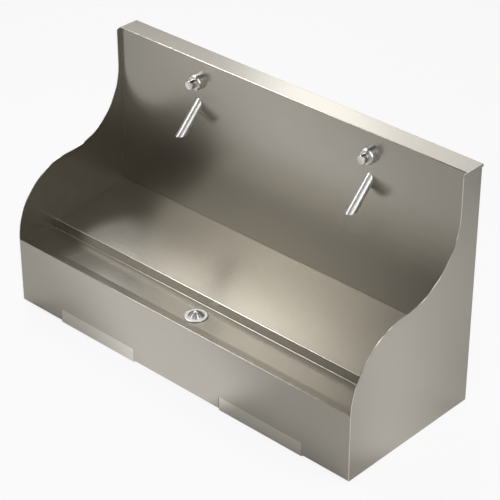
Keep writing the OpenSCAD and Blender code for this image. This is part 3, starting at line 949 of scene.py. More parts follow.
@dataclass
class TroughPan:
    """The folded shelf and gutter, with the waste hole."""

    crease: float = 48.0
    rise: float = 3.0
    upstand: float = 16.0
    back_fold: float = 0.3
    crease_fold: float = 1.2
    waste_hole: float = 24.0
    waste_drill: float = 20.0

    def build(self) -> bpy.types.Object:
        """Builds and dresses the pan.

        Returns:
            The finished object.
        """
        s = STATION
        rear, front = s.panel + s.sheet, 3 * s.sheet
        path = [(rear, s.shelf_back + self.upstand), (rear, s.shelf_back),
                (s.shelf_edge, s.shelf_front), (s.shelf_edge, s.gutter), (self.crease, s.gutter),
                (front, s.gutter + self.rise), (front, s.gutter + self.rise + self.upstand)]
        folds = (0.0, self.back_fold, s.fold, s.fold, self.crease_fold, s.fold, 0.0)
        sheet = FoldedSheet(path, folds, -s.half, s.half, outward=True)
        pan = sheet.make("trough_pan_sheet", s.move())
        hole = Bench.drills("waste_hole", s.move(), 64,
                            (self.waste_hole, self.waste_drill, shift(0.0, s.waste, s.gutter)))
        dress(Bench.carve(pan, cut=[hole]), Finishes.satin(Brush.ACROSS), Finishes.EDGE)
        return Bench.finish(pan, 0.3, angle=50.0)


@dataclass
class FrontApron:
    """The low front sheet with its hem, its lower return and the two notches."""

    top: float = 204.0
    gap: float = 8.5
    hem: float = 12.0
    hem_steps: int = 12
    lower_return: float = 15.0
    return_half: float = 579.6
    notch: float = 285.0
    notch_rise: float = 36.0

    def build(self) -> bpy.types.Object:
        """Builds and dresses the apron.

        Returns:
            The finished object.
        """
        s = STATION
        apron = Bench.outline(
            "front_apron_sheet", s.move(), (-s.half, s.half), (0.0, self.gap),
            (0.0, self.top - s.sheet),
            (s.sheet, self.top - s.sheet, -180.0, self.hem_steps),
            (2 * s.sheet, self.top - self.hem),
            (s.sheet, self.top - self.hem),
            (s.sheet, self.gap))
        inward = Bench.blocks(
            "lower_return", s.move(),
            ((-self.return_half, s.sheet / 2, self.gap),
             (self.return_half, s.sheet + self.lower_return, self.gap + s.sheet)))
        notches = Bench.blocks("notches", s.move(), *(
            ((low, -CLEAR, -CLEAR), (high, 2 * self.lower_return, self.gap + self.notch_rise))
            for low, high in mirrored((s.pitch - self.notch) / 2, (s.pitch + self.notch) / 2)))
        Bench.carve(apron, [inward], [notches])
        dress(apron, Finishes.satin(Brush.ACROSS), Finishes.RIM)
        return Bench.finish(apron, 0.3, angle=35.0)


@dataclass
class FrontFoot:
    """A front foot: the plate that fills a notch, and its floor flange."""

    side: Side
    fold: float = 3.5
    ear: float = 20.0
    ear_low: float = 10.4
    drill: float = 20.0

    def build(self) -> bpy.types.Object:
        """Builds and dresses the foot.

        Returns:
            The finished object.
        """
        s = STATION
        place = s.move(self.side.value * s.pitch / 2)
        path = [(s.sheet, s.foot_height), (s.sheet, 0.0), (s.sheet + s.foot_reach, 0.0)]
        sheet = FoldedSheet(path, (0.0, self.fold, 0.0), -s.foot_half, s.foot_half, s.foot_wall,
                            outward=True)
        foot = sheet.make(f"front_foot_{self.side.word}_plate", place)
        ears = Bench.blocks("ears", place, *(
            ((low, s.sheet, self.ear_low), (high, s.sheet + s.foot_wall, s.foot_height))
            for low, high in mirrored(s.foot_half - CLEAR, s.foot_half + self.ear)))
        middle = shift(0.0, s.sheet + s.foot_wall + s.foot_reach / 2)
        hole = Bench.drills("anchor_hole", place, 40, (s.foot_hole, self.drill, middle))
        dress(Bench.carve(foot, [ears], [hole]), Finishes.FOOT, Finishes.EDGE)
        return Bench.finish(foot, 0.4, angle=35.0)


@dataclass
class Stiffener:
    """A channel under the shelf."""

    word: str
    x: float
    half: float = 20.0
    height: float = 22.0
    gap: float = 4.0

    def build(self) -> bpy.types.Object:
        """Builds and dresses the channel.

        Returns:
            The finished object.
        """
        s = STATION
        slope = math.atan2(s.shelf_back - s.shelf_front, s.panel + s.sheet - s.shelf_edge)
        end = (s.panel - s.shelf_edge) / math.cos(slope) - self.gap
        place = (s.move(self.x, s.shelf_edge, s.shelf_front) @ Matrix.Rotation(slope, 4, "X")
                 @ Matrix.Rotation(math.radians(90.0), 4, "Z"))
        low = -s.sheet - self.height
        path = [(-self.half, low), (-self.half, -s.sheet), (self.half, -s.sheet), (self.half, low)]
        sheet = FoldedSheet(path, (0.0, s.fold, s.fold, 0.0), s.sheet + self.gap, end)
        channel = sheet.make(f"shelf_stiffener_{self.word}_channel", place)
        return Bench.finish(dress(channel, Finishes.MILL, Finishes.EDGE), 0.3, angle=35.0)


@dataclass
class RearFrame:
    """The rear rail, the rear feet, and the bolts and nuts that join them."""

    rail: float = 462.5
    rail_wall: float = 2.0
    rail_gap: float = 12.0
    rail_height: float = 50.0
    rail_lip: float = 20.0
    rail_fold: float = 3.0
    foot_fold: float = 4.0
    bolt_pitch: float = 180.0
    bolt_height: float = 37.0
    bolt: float = 3.0
    bolt_tip: float = 0.5
    head: float = 5.5
    head_height: float = 2.5
    key_share: float = 0.72
    key_depth: float = 0.6
    nut_flats: float = 10.0
    nut: float = 5.0
    play: float = 0.1

    @property
    def back(self) -> float:
        """The rear face of the feet."""
        return self.rail + self.rail_wall + STATION.foot_wall

    @property
    def first_bolt(self) -> Matrix:
        """Puts a lathe's Z axis along the first bolt."""
        return STATION.move(self.bolts()[0], 0.0, self.bolt_height) @ TO_Y

    def bolts(self, sides: Iterable[Side] = tuple(Side)) -> list[float]:
        """The places of the bolts across the station, in millimetres."""
        return [side.value * STATION.width / 4 + end * self.bolt_pitch / 2
                for side in sides for end in (-1.0, 1.0)]

    def drill(self, sheet: bpy.types.Object, places: Iterable[float],
              *others: bpy.types.Object) -> bpy.types.Object:
        """Cuts bolt holes and other holes, then dresses a rail or a foot.

        Args:
            sheet: The rail or the foot.
            places: The places of its bolts.
            others: The cutters of its other holes.

        Returns:
            The same object.
        """
        shaft = stepped(self.rail - OVER, (self.bolt + self.play, self.back + OVER))
        Bench.carve(sheet, cut=[
            *(Bench.turned("drill", shaft, STATION.move(x, 0.0, self.bolt_height) @ TO_Y)
              for x in places), *others])
        return dress(sheet, Finishes.MILL, Finishes.EDGE)

    def build_rail(self) -> bpy.types.Object:
        """Folds the rail and drills it.

        Returns:
            The finished object.
        """
        half, low, high = STATION.half, self.rail_gap, self.rail_gap + self.rail_height
        front, rear = self.rail - self.rail_lip, self.rail + self.rail_wall
        sheet = FoldedSheet([(front, low), (rear, low), (rear, high), (front, high)],
                            (0.0, self.rail_fold, self.rail_fold, 0.0), -half, half,
                            self.rail_wall, outward=True)
        rail = sheet.make("rear_rail_channel", STATION.move())
        return Bench.finish(self.drill(rail, self.bolts()), 0.3, angle=35.0)

    def build_foot(self, side: Side) -> bpy.types.Object:
        """Folds one rear foot and drills it.

        Args:
            side: The foot's side.

        Returns:
            The finished object.
        """
        s = STATION
        middle = side.value * s.width / 4
        path = [(self.back - s.foot_reach, 0.0), (self.back, 0.0), (self.back, s.foot_height)]
        sheet = FoldedSheet(path, (0.0, self.foot_fold, 0.0), -s.foot_half, s.foot_half,
                            s.foot_wall, outward=True)
        foot = sheet.make(f"rear_foot_{side.word}_plate", s.move(middle))
        anchor = Bench.turned("anchor_hole", stepped(-OVER, (s.foot_hole, s.foot_wall + OVER)),
                              s.move(middle, self.back - s.foot_wall - s.foot_reach / 2))
        return Bench.finish(self.drill(foot, self.bolts([side]), anchor), 0.4, angle=35.0)

    def repeat(self, obj: bpy.types.Object) -> bpy.types.Object:
        """Repeats the first bolt or nut at the places of all of them.

        Args:
            obj: The first bolt or nut.

        Returns:
            The same object, with all of them.
        """
        places = self.bolts()
        bm = bmesh.new()
        for x in places:
            before = set(bm.verts)
            bm.from_mesh(obj.data)
            bmesh.ops.translate(bm, vec=((x - places[0]) * MM, 0.0, 0.0),
                                verts=[v for v in bm.verts if v not in before])
        bm.to_mesh(obj.data)
        bm.free()
        return obj

    def build_bolts(self) -> bpy.types.Object:
        """Turns the domed bolts with their sockets, as one object.

        Returns:
            The finished object.
        """
        tip, back, end = self.rail - self.nut, self.back, self.back + self.head_height
        dome = [(self.head * math.cos(math.radians(a)),
                 end - self.head_height * (1.0 - math.sin(math.radians(a))))
                for a in (0.0, 22.5, 45.0, 67.5)]
        profile = [(0.0, tip), (self.bolt - self.bolt_tip, tip), (self.bolt, tip + self.bolt_tip),
                   (self.bolt, back), (self.head, back), *dome, (0.0, end)]
        bolts = Bench.turned("rear_foot_bolts_domed", profile, self.first_bolt, 48)
        key = Bench.prism("key", self.head * self.key_share,
                          end - self.head_height * self.key_depth, end + OVER, self.first_bolt)
        dress(Bench.carve(bolts, cut=[key]), Finishes.FASTENER)
        return self.repeat(Bench.finish(bolts, 0.15, angle=35.0))

    def build_nuts(self) -> bpy.types.Object:
        """Makes the nuts, as one object."""
        nut = HexPiece(self.nut_flats, self.rail - self.nut, self.rail, self.bolt + self.play)
        return self.repeat(nut.make("rear_foot_nuts_hex", self.first_bolt, Finishes.FASTENER))


# Turned pieces

@dataclass
class HexPiece:
    """A hexagon with turned corners, a round part on the same axis, and a bore."""

    flats: float
    low: float
    high: float
    bore: float = 0.0
    part: Sequence[Pair] = ()
    corner: float = 0.94

    def make(self, name: str, place: Matrix, finish: Finish) -> bpy.types.Object:
        """Cuts, rounds and dresses the piece.

        Args:
            name: The object's name.
            place: A matrix that puts its Z axis and its origin in the row frame.
            finish: Its finish.

        Returns:
            The finished object.
        """
        widest = self.flats / math.sqrt(3.0)
        face = widest * self.corner
        step = (widest - face) / 2
        barrel = [(0.0, self.low), (face, self.low), (widest + step, self.low + 2 * step),
                  (widest + step, self.high - 2 * step), (face, self.high), (0.0, self.high)]
        piece = Bench.prism(name, self.flats, self.low, self.high)
        Bench.carve(piece, within=[Bench.turned("barrel", barrel, HERE, 96)])
        ends = [self.low, self.high, *(z for _, z in self.part)]
        hollow = stepped(min(ends) - OVER, (self.bore, max(ends) + OVER))
        Bench.carve(piece, [Bench.turned("part", self.part, HERE, 96)] if self.part else [],
                    [Bench.turned("bore", hollow, HERE)] if self.bore else [])
        piece.data.transform(place)
        return Bench.finish(dress(piece, finish), 0.2, angle=35.0)


@dataclass
class Waste:
    """The waste outlet in the gutter: flanged body, seals, nut and domed strainer."""

    seal: float = 1.0
    flange: float = 32.2
    flange_wall: float = 2.0
    flange_side: float = 0.7
    flange_slope: float = 2.2
    shank: float = 23.9
    shank_length: float = 58.0
    shank_tip: float = 1.2
    bore: float = 20.0
    rim: float = 22.4
    rim_wall: float = 2.5
    hub: float = 5.0
    dome: float = 13.0
    dome_wall: float = 2.0
    slots: int = 12
    slot_width: float = 3.0
    pitch: float = 2.309
    thread_end: float = -16.0
    groove: float = 1.5
    under_seal: float = 3.0
    nut: float = 8.0
    nut_flats: float = 60.0
    play: float = 0.1

    @property
    def place(self) -> Matrix:
        """Puts the waste's axis in the gutter's floor."""
        return STATION.move(0.0, STATION.waste, STATION.gutter)

    @property
    def seat(self) -> float:
        """The height of the seat that carries the strainer."""
        return self.seal + self.flange_wall - self.rim_wall

    def seals(self) -> tuple[bpy.types.Object, bpy.types.Object]:
        """Cuts the seals over and under the pan.

        Returns:
            The upper seal and the lower seal.
        """
        bore, under = self.shank + self.play, -STATION.sheet
        upper = ring(bore, self.flange - self.flange_wall, 0.0, self.seal)
        lower = ring(bore, self.flange, under - self.under_seal, under)
        return (
            Bench.turn_piece("waste_flange_seal_ring", upper, self.place, Finishes.RUBBER, 0.15),
            Bench.turn_piece("waste_under_seal_ring", lower, self.place, Finishes.RUBBER, 0.5))

    def back_nut(self) -> bpy.types.Object:
        """Cuts the nut that clamps the waste to the pan.

        Returns:
            The finished object.
        """
        high = -STATION.sheet - self.under_seal
        nut = HexPiece(self.nut_flats, high - self.nut, high, self.shank + self.play)
        return nut.make("waste_back_nut_hex", self.place, Finishes.BRASS)

    def body(self) -> bpy.types.Object:
        """Turns the flanged body with its threaded shank.

        Returns:
            The finished object.
        """
        top, crest = self.seal + self.flange_wall, -self.shank_length + self.pitch
        neck, lead = self.shank - self.groove, self.rim + self.play
        profile = [
            (self.bore, -self.shank_length), (self.shank - self.shank_tip, -self.shank_length),
            (self.shank, crest), *thread(self.shank, crest, self.thread_end, self.pitch),
            (self.shank, self.thread_end), (neck, self.thread_end),
            (neck, self.thread_end + self.groove), (self.shank, self.thread_end + self.groove),
            (self.shank, self.seal), (self.flange, self.seal),
            (self.flange, self.seal + self.flange_side), (self.flange - self.flange_slope, top),
            (lead, top), (lead, self.seat), (self.bore, self.seat)]
        return Bench.turn_piece("waste_body_turned", profile, self.place, Finishes.POLISHED, 0.25)

    def strainer(self) -> bpy.types.Object:
        """Turns the dome and cuts its slots.

        Returns:
            The finished object.
        """
        inner, top, half = self.rim - self.rim_wall, self.dome + self.rim_wall, self.slot_width / 2
        profile = [(0.0, top - self.dome_wall), (self.hub, top - self.dome_wall), (self.bore, 0.0),
                   (self.rim, 0.0), (self.rim, self.rim_wall),
                   (inner + self.dome_wall, self.rim_wall), (self.hub, top),
                   (self.hub / 2, top + self.dome_wall / 5), (0.0, top + self.dome_wall / 4)]
        place = STATION.move(0.0, STATION.waste, STATION.gutter + self.seat)
        dome = Bench.turned("waste_strainer_dome", profile, place, 96)
        cut = bmesh.new()
        for step in range(self.slots):
            slot = Bench.block(cut, (self.hub + 2 * OVER, -half, -2 * OVER),
                               (inner - OVER, half, top + 3 * OVER))
            turn = Matrix.Rotation(math.tau * (step + 0.5) / self.slots, 3, "Z")
            bmesh.ops.rotate(cut, cent=ORIGIN, matrix=turn, verts=slot)
        Bench.carve(dome, cut=[Bench.solid(cut, "slots", place)])
        return Bench.finish(dress(dome, Finishes.POLISHED), 0.3)


@dataclass
class Tap:
    """What shows of one push-button tap and its spout."""

    side: Side
    collar: float = 22.75
    collar_side: float = 11.0
    collar_length: float = 19.0
    collar_face: float = 16.5
    collar_steps: int = 8
    button: float = 13.5
    reach: float = 36.6
    hollow: float = 10.0
    front_wall: float = 9.6
    skirt_end: float = -3.0
    run: float = 0.05
    nose: float = 16.7
    nose_length: float = 9.1
    spout_wall: float = 2.0
    spout_reach: float = 66.5
    spout_stub: float = 25.0

    @property
    def place(self) -> Matrix:
        """Puts a lathe's Z axis along +Y, behind the panel's face."""
        return STATION.move(self.side.value * STATION.pitch / 2, STATION.panel,
                            STATION.tap_height) @ TO_Y

    def build_collar(self) -> bpy.types.Object:
        """Turns the domed collar.

        Returns:
            The finished object.
        """
        wide, drop = self.collar - self.collar_face, self.collar_length - self.collar_side
        angles = [math.radians(90.0 * i / self.collar_steps) for i in range(self.collar_steps + 1)]
        dome = [(self.collar_face + wide * math.cos(a), -self.collar_side - drop * math.sin(a))
                for a in angles]
        way = self.button + self.run
        profile = [(self.nose, 0.0), (self.collar, 0.0), *dome, (way, -self.collar_length),
                   (way, -self.nose_length), (self.nose, -self.nose_length)]
        return Bench.turn_piece(f"tap_collar_{self.side.word}_turned", profile, self.place,
                                Finishes.CHROME)

    def build_button(self) -> bpy.types.Object:
        """Turns the hollow button, with a soft edge and a faintly dished face.

        Returns:
            The finished object.
        """
        face, wide = -self.reach, self.button
        profile = [(0.0, face + 0.5), (wide * 0.45, face + 0.4), (wide * 0.78, face + 0.1),
                   (wide - 1.2, face), (wide, face + 1.2), (wide, self.skirt_end),
                   (self.hollow, self.skirt_end), (self.hollow, face + self.front_wall),
                   (0.0, face + self.front_wall)]
        return Bench.turn_piece(f"push_button_{self.side.word}_turned", profile, self.place,
                                Finishes.SATIN_CHROME, 0.5, closed=False)

    def build_spout(self) -> bpy.types.Object:
        """Draws the slanted tube and cuts its mouth level.

        Returns:
            The finished object.
        """
        s, far, wide = STATION, 3 * self.spout_reach, 2 * STATION.spout
        length = self.spout_reach * math.sqrt(2.0) + 3 * s.spout
        wall = ring(s.spout - self.spout_wall, s.spout, -self.spout_stub, length)
        tube = Bench.turned(f"spout_{self.side.word}_tube", wall, TO_SPOUT, 96, closed=True)
        below = Bench.blocks("below", HERE, ((-wide, -far, -far), (wide, 0.0, -self.spout_reach)))
        Bench.carve(tube, cut=[below])
        tube.data.transform(s.move(self.side.value * s.pitch / 2, s.panel, s.spout_root))
        return Bench.finish(dress(tube, Finishes.SPOUT), 0.35, segments=3)


@dataclass
class Valve:
    """What is hidden of one tap: the valve, its moving parts, and the way to the spout.

    Depths are in millimetres behind the back panel's face.
    """

    side: Side
    nose: float = 16.6
    nose_front: float = -9.0
    front: float = 4.5
    end: float = 41.5
    body: float = 19.0
    bore: float = 13.8
    bore_end: float = 9.0
    gallery: float = 6.0
    gallery_start: float = 17.5
    outlet: float = 21.25
    chamber: float = 9.0
    chamber_start: float = 25.0
    plunger: float = 4.0
    plunger_front: float = -27.0
    plunger_run: float = 0.05
    waist: float = 2.5
    waist_lead: float = 0.4
    poppet: float = 7.5
    poppet_wall: float = 4.0
    cord: float = 1.0
    cord_steps: int = 24
    seal: float = 5.1
    seal_depth: float = 13.25
    wire: float = 0.8
    curl: float = 7.0
    curls: int = 7
    curl_steps: int = 32
    spring_gap: float = 0.3
    travel: float = 8.0
    cap: float = 6.0
    cap_flats: float = 30.0
    plug: float = 2.0625
    inlet: float = 10.45
    inlet_bore: float = 6.0
    inlet_offset: float = 34.0
    inlet_end: float = 45.0
    inlet_length: float = 13.0
    inlet_screwed: float = 7.0
    inlet_hex: float = 5.0
    inlet_flats: float = 24.0
    inlet_pitch: float = 1.814
    boss: float = 14.0
    neck: float = 9.0
    outlet_boss: float = 27.0
    pipe: float = 7.5
    pipe_wall: float = 1.0
    pipe_entry: float = 7.5
    pipe_boss: float = 10.5
    socket: float = 15.5
    socket_drop: float = 38.0
    socket_back: float = -32.0
    socket_front: float = -19.0
    socket_wall: float = 2.5
    socket_bore: float = 8.5
    socket_way: float = 5.5
    stub: float = -25.0
    play: float = 0.1

    @property
    def base(self) -> Matrix:
        """Puts the tap's axis on Y, at the panel's face."""
        return STATION.move(self.side.value * STATION.pitch / 2, STATION.panel, STATION.tap_height)

    @property
    def down(self) -> Matrix:
        """Puts a lathe's Z axis in the outlet, before placing."""
        return shift(0.0, self.outlet)

    def name(self, piece: str, form: str) -> str:
        """The name of a piece on this side."""
        return f"{piece}_{self.side.word}_{form}"

    def build_plunger(self) -> bpy.types.Object:
        """Turns the plunger with its waist and its poppet.

        Returns:
            The finished object.
        """
        seat = self.chamber_start + self.play
        profile = stepped(self.plunger_front, (self.plunger, self.gallery_start - self.waist_lead),
                          (self.waist, seat), (self.poppet, seat + self.poppet_wall))
        return Bench.turn_piece(self.name("plunger", "turned"), profile, self.base @ TO_Y,
                                Finishes.BRASS, steps=64, closed=False)

    def build_spring(self) -> bpy.types.Object:
        """Winds the return spring.

        Returns:
            The finished object.
        """
        start = self.plunger_front + self.spring_gap + self.wire
        run = self.bore_end - self.spring_gap - self.wire - start
        steps = self.curls * self.curl_steps
        bm = bmesh.new()
        wire = bmesh.ops.create_circle(bm, cap_ends=False, segments=12, radius=self.wire)["verts"]
        bmesh.ops.rotate(bm, verts=wire, cent=ORIGIN,
                         matrix=Matrix.Rotation(math.radians(90.0), 3, "X"))
        bmesh.ops.translate(bm, verts=wire, vec=(self.curl, 0.0, start))
        Bench.spin(bm, bm.verts[:] + bm.edges[:], math.tau * self.curls, steps,
                   dvec=(0.0, 0.0, run / steps))
        bmesh.ops.holes_fill(bm, edges=[e for e in bm.edges if e.is_boundary], sides=0)
        bmesh.ops.recalc_face_normals(bm, faces=bm.faces[:])
        spring = Bench.solid(bm, self.name("return_spring", "wound"), self.base @ TO_Y)
        return Bench.finish(dress(spring, Finishes.SPRING))

    def press_spring(self, spring: bpy.types.Object) -> None:
        """Gives the spring a mesh of its own.

        Args:
            spring: The spring, settled in its place.
        """
        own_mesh(spring)

    def build_seal(self) -> bpy.types.Object:
        """Turns the plunger's seal ring.

        Returns:
            The finished object.
        """
        angles = [math.tau * i / self.cord_steps for i in range(self.cord_steps)]
        profile = [(self.seal + self.cord * math.cos(a), self.seal_depth + self.cord * math.sin(a))
                   for a in angles]
        return Bench.turn_piece(self.name("plunger_seal", "ring"), profile, self.base @ TO_Y,
                                Finishes.RUBBER, 0.0, 64)

    def build_body(self) -> bpy.types.Object:
        """Turns the valve's body, adds its bosses and bores it.

        Returns:
            The finished object.
        """
        side, depth = self.side.value, self.chamber_start + self.inlet_bore
        across = shift(0.0, depth) @ Matrix.Rotation(side * math.radians(90.0), 4, "Y")
        rear = shift(side * self.inlet_offset) @ TO_Y
        bore, run = self.plunger + self.plunger_run, self.cord + self.play
        groove, slot = self.seal + run, (self.chamber_start - self.gallery_start) / 2
        outer = stepped(self.nose_front, (self.nose, self.front), (self.body, self.end))
        hollow = stepped(self.nose_front - OVER, (self.bore, self.bore_end),
                         (bore, self.seal_depth - run), (groove, self.seal_depth + run),
                         (bore, self.gallery_start), (self.gallery, self.chamber_start),
                         (self.chamber, self.end + OVER))
        outlet_way = stepped(-self.outlet_boss - OVER,
                             (self.pipe + self.play, -self.outlet_boss + self.pipe_entry),
                             (slot, 0.0))
        inlet_way = stepped(0.0, (self.inlet_bore - self.play / 2, self.inlet_offset))
        inlet_bore = stepped(depth,
                             (self.inlet_bore, self.inlet_end - self.inlet_screwed - self.play),
                             (self.inlet + self.play, self.inlet_end + OVER))
        outlet_boss = stepped(-self.outlet_boss, (self.pipe_boss, 0.0))
        inlet_neck = stepped(0.0, (self.neck, self.inlet_offset))
        inlet_boss = stepped(depth - self.neck, (self.boss, self.inlet_end))
        body = Bench.turned(self.name("valve_body", "cast"), outer, TO_Y, 96)
        Bench.carve(body, [
            Bench.turned("outlet_boss", outlet_boss, self.down),
            Bench.turned("inlet_neck", inlet_neck, across),
            Bench.turned("inlet_boss", inlet_boss, rear),
        ], [
            Bench.turned("hollow", hollow, TO_Y, 96),
            Bench.turned("outlet_way", outlet_way, self.down, twist=TWIST),
            Bench.turned("inlet_way", inlet_way, across, twist=CROSS_TWIST),
            Bench.turned("inlet_bore", inlet_bore, rear, twist=TWIST),
        ])
        body.data.transform(self.base)
        return Bench.finish(dress(body, Finishes.BRASS), 0.4, angle=35.0)

    def build_washer(self) -> bpy.types.Object:
        """Cuts the washer behind the panel."""
        profile = ring(self.nose + self.play, self.body, STATION.sheet, self.front)
        return Bench.turn_piece(self.name("valve_washer", "ring"), profile, self.base @ TO_Y,
                                Finishes.RUBBER, 0.4)

    def build_cap(self) -> bpy.types.Object:
        """Cuts the cap that closes the chamber.

        Returns:
            The finished object.
        """
        part = stepped(self.end - self.plug, (self.chamber - self.play, self.end))
        cap = HexPiece(self.cap_flats, self.end, self.end + self.cap, part=part)
        return cap.make(self.name("valve_cap", "hex"), self.base @ TO_Y, Finishes.BRASS)

    def build_nipple(self) -> bpy.types.Object:
        """Cuts the threaded nipple that takes the supply.

        Returns:
            The finished object.
        """
        top, low = self.inlet_hex + self.inlet_length, -self.inlet_screwed
        part = [(0.0, low), (self.inlet, low), (self.inlet, self.inlet_hex + 1.0),
                *thread(self.inlet, self.inlet_hex + 1.5, top, self.inlet_pitch),
                (self.inlet - 1.0, top), (0.0, top)]
        place = self.base @ shift(self.side.value * self.inlet_offset, self.inlet_end) @ TO_Y
        nipple = HexPiece(self.inlet_flats, 0.0, self.inlet_hex, self.inlet_bore, part)
        return nipple.make(self.name("inlet_nipple", "threaded"), place, Finishes.BRASS)

    def build_pipe(self) -> bpy.types.Object:
        """Turns the pipe from the valve to the spout's socket."""
        profile = ring(self.pipe - self.pipe_wall, self.pipe, -self.socket_drop - self.pipe_entry,
                       -self.outlet_boss + self.pipe_entry)
        return Bench.turn_piece(self.name("outlet_pipe", "drawn"), profile, self.base @ self.down,
                                Finishes.BRASS, 0.2, 64)

    def build_socket(self) -> bpy.types.Object:
        """Casts the socket that holds the spout and takes the pipe.

        Returns:
            The finished object.
        """
        drop = STATION.tap_height - STATION.spout_root
        along, low = shift(0.0, 0.0, -drop) @ TO_SPOUT, self.outlet - drop
        outer = stepped(self.socket_back, (self.socket, self.socket_front))
        boss = stepped(low, (self.pipe_boss, -self.socket_drop))
        spout_bore = stepped(self.socket_back + self.socket_wall,
                             (self.socket_bore, self.stub - self.play),
                             (STATION.spout + self.play, self.socket_front + OVER))
        pipe_bore = stepped(low,
                            (self.socket_way, -self.socket_drop - self.pipe_entry - self.play),
                            (self.pipe + self.play, -self.socket_drop + 2 * OVER))
        socket = Bench.turned(self.name("spout_socket", "cast"), outer, along)
        Bench.carve(socket, [Bench.turned("socket_boss", boss, self.down)], [
            Bench.turned("spout_bore", spout_bore, along, twist=TWIST),
            Bench.turned("pipe_bore", pipe_bore, self.down, twist=CROSS_TWIST),
        ])
        socket.data.transform(self.base)
        return Bench.finish(dress(socket, Finishes.BRASS), 0.4, angle=35.0)

    def build(self) -> None:
        """Builds every piece and settles it in."""
        settle_in(self.build_plunger(), f"{self.side.word}_button")
        self.press_spring(settle_in(self.build_spring()))
        for make, slot in (
                (self.build_seal, "seal_rubber"), (self.build_body, "brass"),
                (self.build_washer, "seal_rubber"), (self.build_cap, "brass"),
                (self.build_nipple, "brass"), (self.build_pipe, "brass"),
                (self.build_socket, "brass")):
            settle_in(make())


# Studio

@dataclass(frozen=True)
class Lamp:
    """A soft box aimed at the station, with its size in metres and its power in watts.

    Its bearing is in degrees from +X towards +Y, and its rise in degrees above the floor.
    """

    name: str
    bearing: float
    rise: float
    size: float
    power: float
    distance: float = 3.4
    target: Triple = (0.0, 0.0, 0.3)

    def hang(self) -> None:
        """Hangs the lamp."""
        light = bpy.data.lights.new(self.name, "AREA")
        light.shape = "SQUARE"
        light.size = self.size
        light.energy = self.power
        obj = bpy.data.objects.new(self.name, light)
        bpy.context.scene.collection.objects.link(obj)
        turn, rise = math.radians(self.bearing), math.radians(self.rise)
        way = Vector((math.cos(rise) * math.cos(turn), math.cos(rise) * math.sin(turn),
                      math.sin(rise)))
        obj.location = Vector(self.target) + way * self.distance
        obj.rotation_euler = (-way).to_track_quat("-Z", "Y").to_euler()
        obj.visible_camera = False


@dataclass(frozen=True)
class Pool:
    """A long soft painted pool of light on the floor, running out from the station. It glows only
    in what metal mirrors.

    Its bearing is in degrees from +X towards +Y. The offset of its middle line, its half
    width, and its start from the station's middle are in metres. Its level is highest along
    the middle line.
    """

    bearing: float
    offset: float
    half_width: float
    level: float
    start: float = 0.0
    fade: float = 0.06

    def mask(self, nodes: Nodes, place: bpy.types.NodeSocket) -> bpy.types.NodeSocket:
        """Adds the pool to a material.

        Args:
            nodes: The material's nodes.
            place: The place on the floor.

        Returns:
            The pool's level at each place.
        """
        turn = math.radians(self.bearing)
        side, along = (
            nodes.add("ShaderNodeVectorMath", {0: place, 1: way}, operation="DOT_PRODUCT")
            .outputs["Value"]
            for way in ((-math.sin(turn), math.cos(turn), 0.0),
                        (math.cos(turn), math.sin(turn), 0.0)))
        off = nodes.maths("ABSOLUTE", nodes.maths("SUBTRACT", side, self.offset))
        return nodes.maths(
            "MULTIPLY", nodes.ramp(off, (self.half_width, 0.0), (0.0, self.level)),
            nodes.ramp(along, (self.start - self.fade, 0.0), (self.start + self.fade, 1.0)))


